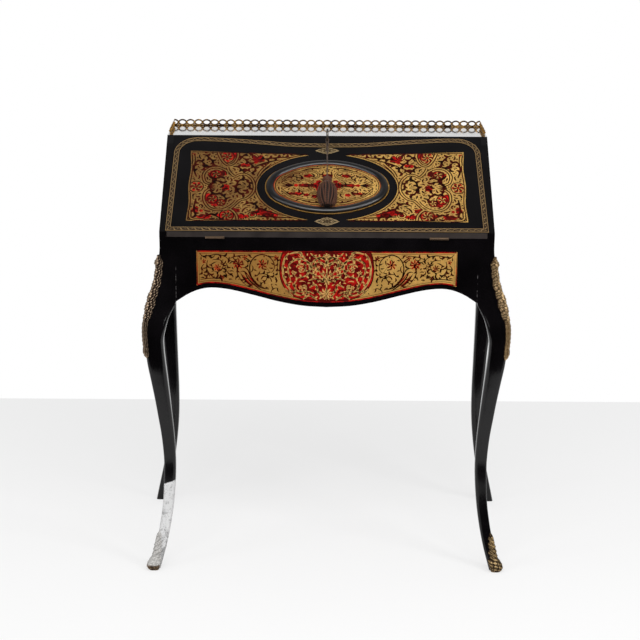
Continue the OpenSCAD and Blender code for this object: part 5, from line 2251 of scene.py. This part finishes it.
            self.ink.stroke(Tone.GOLD, self.line(*line), width * 1.15, Taper.CURL, 9)
            self.ink.vine(Tone.GOLD, self.line(*line), 0.6, 9.0, 10.5)
        for x, y, r, petals in ((1235, 255, 6, 6), (1235, 470, 5, 6), (1430, 240, 4, 5), (1150, 300, 4.5, 5)):
            self.ink.flower(Tone.GOLD, self.line((x, y))[0], r, petals)
        self.ink.scatter(Tone.GOLD, 21, 4000, (4, 9), 2.6, 0.7)

    def stem(self) -> None:
        """Draws the middle stem with its finial and palmettes."""
        x = self.sketch_x
        self.ink.stroke(Tone.GOLD, self.line((x, 80), (x, 250), (x, 450), (x, 640)), 2.4, Taper.EVEN)
        for y, r, petals in ((110, 7, 5), (215, 8, 6), (375, 13, 9), (540, 14, 9)):
            self.ink.flower(Tone.GOLD, self.line((x, y))[0], r, petals, math.pi / 2)
        for centre in self.line((x, 375), (x, 540)):
            self.ink.disc(Tone.DARK, centre, (2.4, 2.4))

    def build(self) -> None:
        """Makes the apron's inlay."""
        ink = self.ink
        self.ground()
        self.stem()
        kept = set(ink.taken)
        cartouche = self.half_cartouche()
        for hand in (1, -1):
            ink.hand = hand
            ink.taken = set(kept)
            ink.outline = cartouche
            self.scrolls()
            ink.outline = self.outline(4.2)
            self.wing()
            ink.cover(cartouche)
            ink.scatter(Tone.DARK, 31, 2000, (5, 12), 2.6, 1.9)
            ink.scatter(Tone.DARK, 32, 900, (2, 4), 2.6, 1.6)
        ink.finish(Finish.SCROLL, Body.FRAME)


@dataclass
class Tooling:
    """Gilt lines and corner sprays tooled on the writing leather."""

    frame: Frame
    half_w: float = 289.8
    low: float = 34.2
    high: float = 225.4
    back: float = 14.8
    ink: Inlay = field(init=False)

    def __post_init__(self) -> None:
        """Starts the drawing."""
        self.ink = Inlay("leather_tooling", self.put, self.outline(0.0), level=0.0)

    def outline(self, inset: float) -> list[Point2]:
        """A line round the leather at an inset, counter-clockwise from the middle of its foot."""
        x, low, high = self.half_w - inset, self.low + inset, self.high - inset
        return [(0.0, low), (x, low), (x, high), (-x, high), (-x, low)]

    def put(self, x: float, s: float, n: float) -> Vector:
        """A place on the inner face of the fall, seen from the writer's side."""
        return self.frame.on_fall(-x, s, -self.back - n)

    def corner(self, across: int, up: int) -> None:
        """Draws the spray of one corner.

        Args:
            across: 1 for the right, -1 for the left.
            up: 1 for the far side, -1 for the near one.
        """
        start = self.outline(17.0)[2 if up > 0 else 1]
        x, y = across * start[0], start[1]
        for k in range(-2, 3):
            a = math.pi / 4 + 0.33 * k
            reach = 20 - 3 * abs(k)
            c, s = -across * math.cos(a), -up * math.sin(a)
            middle = (x + c * reach * 0.5 - s * k * 0.8, y + s * reach * 0.5 + c * k * 0.8)
            self.ink.stroke(Tone.GOLD, [(x, y), middle, (x + c * reach, y + s * reach)], 2.6)
        self.ink.flower(Tone.GOLD, (x - across * 23, y - up * 23), 5.5, 6)

    def build(self) -> None:
        """Makes the tooling."""
        for inset, width in ((7.0, 0.9), (10.5, 3.2), (14.0, 0.9)):
            self.ink.edge(Tone.GOLD, self.outline(inset), width)
        for across, up in product(SIDES, repeat=2):
            self.corner(across, up)
        self.ink.finish(Finish.GILT, Body.FALL)


# Border and lozenges of the fall


@dataclass
class Border:
    """The embossed brass band around the fall and the two lozenges on its middle line.

    A lozenge has a name, a height up the slope and a half height. The scrolls are given for one
    quarter of it, in shares of its half sizes.
    """

    frame: Frame
    half: float = 337.6
    foot: float = 2.3
    corner_r: float = 51.0
    corner_down: float = 59.6
    lean: float = 5.6
    width: float = 10.7
    thick: float = 1.2
    leaf: float = 15.0
    lozenge_x: float = 26.5
    lozenge_t: float = 0.6
    step: float = 1.4
    lozenges: tuple[tuple[str, float, float], ...] = (
        ("escutcheon_leaves", 254.6, 11.8), ("lower_lozenge_leaves", 32.1, 14.0),
    )
    top_line: tuple[Point2, ...] = (
        (0, 27.2), (81, 25.2), (128, 20.1), (176, 15.1), (224, 11), (262, 8.6), (281, 8.6),
    )
    scrolls: tuple[tuple[float, tuple[Point2, ...]], ...] = (
        (0.62, ((0, 0.93), (0.2, 0.68), (0.34, 0.66), (0.5, 0.42), (0.66, 0.36), (0.96, 0))),
        (0.5, ((0.16, 0.12), (0.12, 0.46), (0.3, 0.46), (0.42, 0.16), (0.32, 0.04), (0.24, 0.16))),
        (0.5, ((0.46, 0.06), (0.6, 0.22), (0.76, 0.12), (0.9, 0))),
        (0.42, ((0, 0.8), (0.07, 0.56), (0, 0.34))),
    )

    def line(self, inset: float) -> list[Point2]:
        """The band's outline at an inset, from its right foot round to its left foot.

        Args:
            inset: Distance inside the outer line.

        Returns:
            The outline.
        """
        corner_x = self.half - self.corner_r - self.lean
        top = self.frame.slant_l
        half = [(self.half - inset, self.foot + inset)]
        r = self.corner_r - inset
        for a in (math.radians(-3 + 93 * i / 14) for i in range(15)):
            half.append((corner_x + r * math.cos(a), top - self.corner_down + r * math.sin(a)))
        for x in (corner_x * (1 - i / 16) for i in range(1, 17)):
            half.append((x, top - curve_at(self.top_line, x) - inset))
        return [*half, *((-x, y) for x, y in reversed(half[:-1]))]

    def relief(self, walked: float, v: float) -> float:
        """Height of the embossing from 0 to 1.

        Args:
            walked: Distance along the band.
            v: Place across it, from 0 to 1.

        Returns:
            The height.
        """
        rim = 0.85 if v < 0.13 or v > 0.87 else 0.0
        turn = 2 * math.pi * walked / self.leaf
        stem = math.exp(-(((v - 0.5 - 0.2 * math.sin(turn)) / 0.08) ** 2))
        lobe = 0.5 + 0.5 * math.cos(3 * turn + 5.0 * abs(v - 0.5) * 2)
        side = 0.5 - 0.5 * math.copysign(1.0, math.sin(turn)) * (v - 0.5) * 3.0
        leaf = lobe * max(0.0, min(1.0, side)) * math.sin(math.pi * v) ** 0.6
        return max(rim, 0.95 * stem, 0.8 * leaf)

    def band(self) -> None:
        """Makes the embossed band."""
        across = [0.0, 0.02, 0.1, 0.15, 0.2, 0.3, 0.4, 0.5, 0.6, 0.7, 0.8, 0.85, 0.9, 0.98, 1.0]
        lines = [[*line, line[0]] for line in (self.line(self.width * v) for v in across)]
        rings, walked = [], 0.0
        for k in range(len(lines[0]) - 1):
            length = math.dist(lines[0][k], lines[0][k + 1])
            count = max(1, round(length / self.step))
            for t in (j / count for j in range(count)):
                ring = []
                for v, line in zip(across, lines):
                    (a, b), (c, d) = line[k], line[k + 1]
                    relief = self.relief(walked + length * t, v)
                    n = 0.0 if v in (0.0, 1.0) else self.thick * (0.3 + 0.7 * relief)
                    relief = min(relief, 0.42) if abs(v - 0.5) > 0.36 else relief
                    ring.append((*self.frame.on_fall(a + (c - a) * t, b + (d - b) * t, n), relief))
                rings.append(ring[::-1])
            walked += length
        surface = Surface()
        surface.skin([*rings, rings[0]], closed=False)
        surface.ride("embossed_fall_border", Finish.BORDER, Body.FALL, Slot.BRASS, "fall_border")

    def lozenge(self, name: str, up: float, half: float) -> None:
        """Makes the raised rim and scrolls of one lozenge.

        Args:
            name: The piece's name.
            up: Its height up the slope.
            half: Its half height.
        """
        surface = Surface()
        n = self.lozenge_t + 0.3
        for across, rise, (radius, line) in product(SIDES, SIDES, self.scrolls):
            path = [
                self.frame.on_fall(across * x * self.lozenge_x, up + rise * y * half, n)
                for x, y in smooth_line(line, 7)
            ]
            surface.tube(path, lambda t: radius * MM * (0.35 + 0.65 * math.sin(math.pi * t)), 6)
        surface.ride(name, Finish.ORNAMENT, Body.FALL, Slot.BRASS)

    def build(self) -> None:
        """Makes the band and both lozenges."""
        self.band()
        for name, up, half in self.lozenges:
            self.lozenge(name, up, half)


# Key's tassel


@dataclass
class Tassel:
    """The silk tassel that hangs from the key by a doubled cord.

    The route is that of the cord's one half, up to the key's ring.
    """

    frame: Frame
    head_s: float = 149.6
    head_n: float = 21.0
    lift: float = math.radians(8.0)
    head_r: float = 10.5
    head_l: float = 16.0
    skirt_r: float = 21.0
    skirt_l: float = 68.0
    strand_r: float = 1.7
    strand_count: int = 19
    strand_steps: int = 30
    cap_points: int = 96
    cap_levels: int = 56
    cord_d: float = 1.3
    collar_r: float = 6.9
    knot_r: float = 2.3
    route: tuple[Point3, ...] = (
        (-0.85, 147.7, 20.5), (-0.85, 160.4, 23.55), (-0.85, 173.1, 26.6), (-0.85, 184.8, 29.4),
        (-0.85, 196.5, 32.2), (-0.85, 205.9, 34.4), (-0.85, 215.3, 36.6), (-1.35, 229.8, 40.1),
        (-2.17, 235.2, 41.4), (-3.0, 240.0, 42.5), (-3.1, 243.4, 43.3), (-2.86, 244.6, 43.6),
        (-2.19, 245.5, 43.8), (-1.19, 246.2, 44.0), (0.0, 246.4, 44.05),
    )
    head_shape: tuple[Point2, ...] = (
        (0, 0.16), (0.06, 0.36), (0.15, 0.6), (0.3, 0.82), (0.45, 0.93), (0.62, 0.97),
        (0.8, 0.92), (0.92, 0.8), (1.0, 0.62),
    )
    skirt_shape: tuple[Point2, ...] = (
        (0, 0.36), (0.1, 0.66), (0.25, 0.95), (0.42, 1.06), (0.65, 1.04), (0.84, 0.9), (1, 0.66),
    )

    def place(self, across: float, along: float, out: float) -> Vector:
        """A place from the tassel's head: across, down the tassel and away from the fall.

        Args:
            across: Distance across.
            along: Distance down from the head's top.
            out: Distance away from the fall.

        Returns:
            The point.
        """
        c, k = math.cos(self.lift), math.sin(self.lift)
        s, n = self.head_s - along * c - out * k, self.head_n - along * k + out * c
        return self.frame.on_fall(across, s, n)

    def hoop(self, radius: float, along: float, count: int) -> list[Vector]:
        """Points of a circle round the tassel's axis."""
        return [self.place(radius * x, along, radius * y) for x, y in circle(count)]

    def cord(self) -> None:
        route = [*self.route, *((-x, s, n) for x, s, n in reversed(self.route[:-1]))]
        points = [self.frame.on_fall(*place) for place in route]
        data = bpy.data.curves.new("tassel_cord_line", "CURVE")
        data.dimensions = "3D"
        data.bevel_depth = self.cord_d * MM / 2
        data.bevel_resolution = 3
        data.resolution_u = 4
        line = data.splines.new("POLY")
        line.points.add(len(points) - 1)
        for knot, point in zip(line.points, points):
            knot.co = (*point, 1.0)
        data.materials.append(Finish.CORD.material)
        thing = bpy.data.objects.new("tassel_silk_cord", data)
        bpy.context.scene.collection.objects.link(thing)
        settle(thing, Body.TASSEL, Slot.SILK, "tassel_cord")
        length = sum((b - a).length for a, b in zip(points, points[1:]))
        tuple(points[0])
        self.cord_d * MM

    def cap(self) -> None:
        """Makes the netted cap of the head with its collar and the knot on its top."""
        surface = Surface()
        rings = []
        for t in shares(self.cap_levels):
            ring = []
            for k, (x, y) in enumerate(circle(self.cap_points)):
                a = 2 * math.pi * k / self.cap_points
                net = 0.5 * max(math.sin(9 * a + 13 * t), math.sin(9 * a - 13 * t)) + 0.5
                bulge = 0.12 * net * math.sin(math.pi * t) ** 0.5
                r = self.head_r * (curve_at(self.head_shape, t) - 0.09 + bulge)
                ring.append(self.place(r * x, self.head_l * t, r * y))
            rings.append(ring)
        surface.skin(rings, caps=True)
        surface.tube(self.hoop(self.collar_r, self.head_l - 0.3, 40), lambda _: 0.0017, closed=True)
        surface.tube(self.hoop(self.knot_r, 0.6, 24), lambda _: 0.0011, closed=True)
        surface.ride("tassel_netted_cap", Finish.SILK, Body.TASSEL, Slot.SILK, "tassel_head")

    def core(self) -> None:
        """Makes the dark core of the skirt: painted shade that shows in the gaps between the strands."""
        rings = []
        for t in shares(24):
            r = self.skirt_r * (curve_at(self.skirt_shape, t) - 0.24) * (0.97 if t < 1 else 0.4)
            rings.append(self.hoop(r, self.head_l + (self.skirt_l - 4) * t, 40))
        surface = Surface()
        surface.skin(rings, caps=True)
        surface.ride("tassel_core", Finish.SHADED_SILK, Body.TASSEL, Slot.SILK)

    def strands(self) -> None:
        """Makes the twisted strands of uneven length, in two layers."""
        dice = random.Random(7)
        surface = Surface()
        for layer, i in product((0, 1), range(self.strand_count)):
            turn = 2 * math.pi * (i + 0.5 * layer + 0.3 * dice.random()) / self.strand_count
            length = self.skirt_l * (0.9 + 0.1 * dice.random() - 0.03 * layer)
            lean = 0.05 * (dice.random() - 0.5)
            twist = dice.random() * 6
            path = []
            for t in shares(self.strand_steps):
                r = self.skirt_r * curve_at(self.skirt_shape, t) * (1.0 - 0.1 * layer) - 2.0
                r += 0.35 * math.sin(9 * t + twist) - 3.0 * layer
                a = turn + lean * t + 0.03 * math.sin(7 * t + twist)
                path.append(self.place(r * math.cos(a), self.head_l + length * t, r * math.sin(a)))

            def radius(t: float) -> float:
                """The strand's radius, which shows its twist and thins out to the end."""
                return self.strand_r * MM * (0.84 + 0.16 * math.cos(80 * t + twist)) * (1 - 0.25 * t**6)

            surface.tube(path, radius, 7)
        surface.ride("tassel_strands", Finish.SILK, Body.TASSEL, Slot.SILK, "tassel_skirt")

    def build(self) -> None:
        """Makes the cap and the skirt; the cord is made first of all."""
        self.cap()
        self.core()
        self.strands()


# Studio


@dataclass
class Studio:
    """Camera, floor, background and lamps.

    A lamp has a name, its place, what it points at, its width and height, and its power.
    """

    eye: Point3 = (-0.0121, -4.3020, 1.5642)
    pitch: float = math.radians(13.895)
    yaw: float = math.radians(-0.020)
    roll: float = math.radians(0.342)
    lens: float = 112.5
    sensor: float = 36.0
    floor_x: float = 2.2
    floor_y: Point2 = (-0.85, 1.085)
    lamps: tuple[tuple[str, Point3, Point3, Point2, float], ...] = (
        ("soft_top", (0.0, -1.9, 2.6), (0.0, 0.0, 0.7), (2.2, 1.0), 42.0),
        ("soft_left", (-2.4, -1.8, 1.9), (0.0, 0.0, 0.6), (1.0, 1.6), 16.0),
        ("soft_right", (2.0, -1.9, 2.2), (0.0, 0.0, 0.7), (0.8, 1.5), 30.0),
    )

    def camera(self) -> None:
        """Sets the camera where the photograph was taken."""
        p, y, r = self.pitch, self.yaw, self.roll
        ahead = Vector((math.sin(y) * math.cos(p), math.cos(y) * math.cos(p), -math.sin(p)))
        right = Vector((math.cos(y), -math.sin(y), 0.0))
        up = right.cross(ahead)
        across = right * math.cos(r) + up * math.sin(r)
        above = up * math.cos(r) - right * math.sin(r)
        data = bpy.data.cameras.new("studio_camera")
        data.lens = self.lens
        data.sensor_width = self.sensor
        camera = bpy.data.objects.new("studio_camera", data)
        turn = Matrix((across, above, -ahead)).transposed()
        camera.matrix_world = Matrix.Translation(Vector(self.eye)) @ turn.to_4x4()
        bpy.context.scene.collection.objects.link(camera)
        bpy.context.scene.camera = camera

    def floor(self) -> None:
        """Lays the pale floor, white to the camera but for the desk's shadow."""
        shader = Shader("studio_floor")
        colour = shader.mix(shader.noise(3.0), (0.80, 0.80, 0.80), (0.83, 0.83, 0.83))
        matt = shader.node("ShaderNodeBsdfDiffuse", {}, {"Color": colour})
        glow = shader.node("ShaderNodeEmission", {}, {"Color": (1.0, 1.0, 1.0), "Strength": 1.0})
        seen, through, mirrored = shader.rays()
        share = (seen + through + 0.3 * mirrored).clamped() * 0.62
        sockets = {0: share, 1: matt.outputs[0], 2: glow.outputs[0]}
        mixed = shader.node("ShaderNodeMixShader", {}, sockets)
        shader.node("ShaderNodeOutputMaterial", {}, {0: mixed.outputs[0]})
        x, (near, far) = self.floor_x, self.floor_y
        surface = Surface()
        surface.faces.append(tuple(surface.add([(-x, near, 0), (x, near, 0), (x, far, 0), (-x, far, 0)])))
        surface.make("studio_floor", shader.owner, smooth=False)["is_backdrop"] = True

    def world(self) -> None:
        """Surrounds the desk with a white background and soft, uneven light."""
        shader = Shader("studio_world", is_world=True)
        place = shader.node("ShaderNodeTexCoord", {}, {}).outputs["Generated"]
        above = shader.math("MAXIMUM", shader.axis(2, place), 0.0)
        behind = shader.math("MAXIMUM", shader.axis(1, place), 0.0)
        seen, through, mirrored = shader.rays()
        soft = (behind**1.5 + 0.015) * mirrored + (above * 0.45 + 0.25) * (1.0 - mirrored)
        strength = shader.math("MAXIMUM", soft, shader.math("MAXIMUM", seen, through))
        sockets = {"Color": (1.0, 1.0, 1.0), "Strength": strength}
        background = shader.node("ShaderNodeBackground", {}, sockets)
        shader.node("ShaderNodeOutputWorld", {}, {0: background.outputs[0]})
        bpy.context.scene.world = shader.owner

    def lamp(self, name: str, place: Point3, aim: Point3, size: Point2, power: float) -> None:
        """Hangs a soft rectangular lamp.

        Args:
            name: The lamp's name.
            place: Where it hangs.
            aim: What it points at.
            size: Its width and height in metres.
            power: Its power in watts.
        """
        data = bpy.data.lights.new(name, "AREA")
        data.shape = "RECTANGLE"
        data.size, data.size_y = size
        data.energy = power
        lamp = bpy.data.objects.new(name, data)
        turn = (Vector(aim) - Vector(place)).to_track_quat("-Z", "Y").to_matrix().to_4x4()
        lamp.matrix_world = Matrix.Translation(Vector(place)) @ turn
        bpy.context.scene.collection.objects.link(lamp)

    def build(self) -> None:
        """Sets up the studio."""
        self.camera()
        self.floor()
        self.world()
        for lamp in self.lamps:
            self.lamp(*lamp)


# The whole desk


@dataclass
class DustBoard:
    """Thin board that closes the run of the well's cover from below."""

    frame: Frame
    half_w: float = 150.0
    front: float = 215.0
    back: float = 366.0
    top: float = 728.3
    thick: float = 3.0
    chamfer: float = 0.8

    def build(self) -> None:
        """Makes the board."""
        low, high, c = self.top - self.thick, self.top, self.chamfer
        front, back = self.front, self.back
        section = (
            (front + c, low), (back - c, low), (back, low + c), (back, high - c),
            (back - c, high), (front + c, high), (front, high - c), (front, low + c),
        )
        ends = (-self.half_w, self.half_w)
        surface = Surface()
        surface.skin([[self.frame.point(x, y, z) for y, z in section] for x in ends], caps=True)
        name = "well_dust_board"
        surface.ride(name, Finish.PLAIN_WOOD, Body.FRAME, Slot.ROSEWOOD, smooth=False)


FINISHED_NODES = {
    Finish.ROSEWOOD: (
        "fitting_bottom", "fitting_shelf", "drawer_dividers", "pigeonhole_dividers",
        "writing_board",
    ),
    Finish.DRAWER: ("left_drawer", "middle_drawer", "right_drawer"),
    Finish.LID: ("well_cover",),
    Finish.PLAIN_WOOD: ("well_box",),
    Finish.HARDWARE: (
        "hinge_case_leaves", "hinge_fall_leaves", "hinge_pins", "strike_plate",
        "stay_wall_plates", "stay_fall_lugs", "left_wall_stay", "right_wall_stay",
        "left_fall_stay", "right_fall_stay", "lock_case", "well_pull",
        "left_drawer_knob", "middle_drawer_knob", "right_drawer_knob",
    ),
    Finish.STEEL: ("key", "lock_bolt"),
    Finish.HIDE: ("writing_leather",),
    Finish.SHEET: ("apron_marquetry",),
    Finish.FALL_SHEET: ("left_marquetry", "right_marquetry", "oval_marquetry"),
    Finish.LIPPED: ("fall_board",),
    Finish.POLISHED: ("top_board",),
    Finish.BORDER: ("fall_border",),
    # The plates under the lozenge scrolls are near-black: painted shade between the scrolls.
    Finish.TARNISHED: ("escutcheon", "lower_ornament"),
}


def dress(nodes: dict[str, bpy.types.Object]) -> None:
    """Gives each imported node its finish; those without one of their own are lacquered.

    Args:
        nodes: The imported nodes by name.
    """
    table = {name: finish for finish, names in FINISHED_NODES.items() for name in names}
    for name, node in nodes.items():
        node.data.materials.clear()
        node.data.materials.append(table.get(name, Finish.LACQUER).material)
    LOG.info("dressed %d packed nodes", len(nodes))


@dataclass
class Desk:
    """The whole desk."""

    frame: Frame = field(default_factory=Frame)

    def build(self, nodes: dict[str, bpy.types.Object]) -> None:
        """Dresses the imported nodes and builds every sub-assembly.

        Args:
            nodes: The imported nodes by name.
        """
        tassel = Tassel(self.frame)
        tassel.cord()
        dress(nodes)
        for side, is_front in product(SIDES, (True, False)):
            leg = Leg(self.frame, side, is_front)
            leg.build()
            if is_front:
                KneeMount(leg).build()
                Sabot(leg).build()
        oval = Oval(self.frame)
        for part in (
            Gallery(self.frame), oval, FallPanel(self.frame, oval, -1),
            FallPanel(self.frame, oval, 1), OvalPanel(oval), Tooling(self.frame),
            DustBoard(self.frame), Border(self.frame), ApronInlay(self.frame), tassel,
        ):
            part.build()


def write_sizes(packed: tuple[Vector, Vector]) -> None:
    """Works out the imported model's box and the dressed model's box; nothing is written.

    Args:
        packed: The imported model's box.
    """
    boxes = {"cad": packed, "visual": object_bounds()}
    plain = {name: [[float(v) for v in corner] for corner in box] for name, box in boxes.items()}


def main() -> None:
    """Builds the scene."""
    logging.basicConfig(level=logging.INFO, format="%(name)s: %(message)s")
    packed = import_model()
    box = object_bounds()
    bpy.context.scene.view_settings.view_transform = "Standard"
    Studio().build()
    Desk().build(packed["nodes"])
    write_sizes(box)


if __name__ == "__main__":
    main()
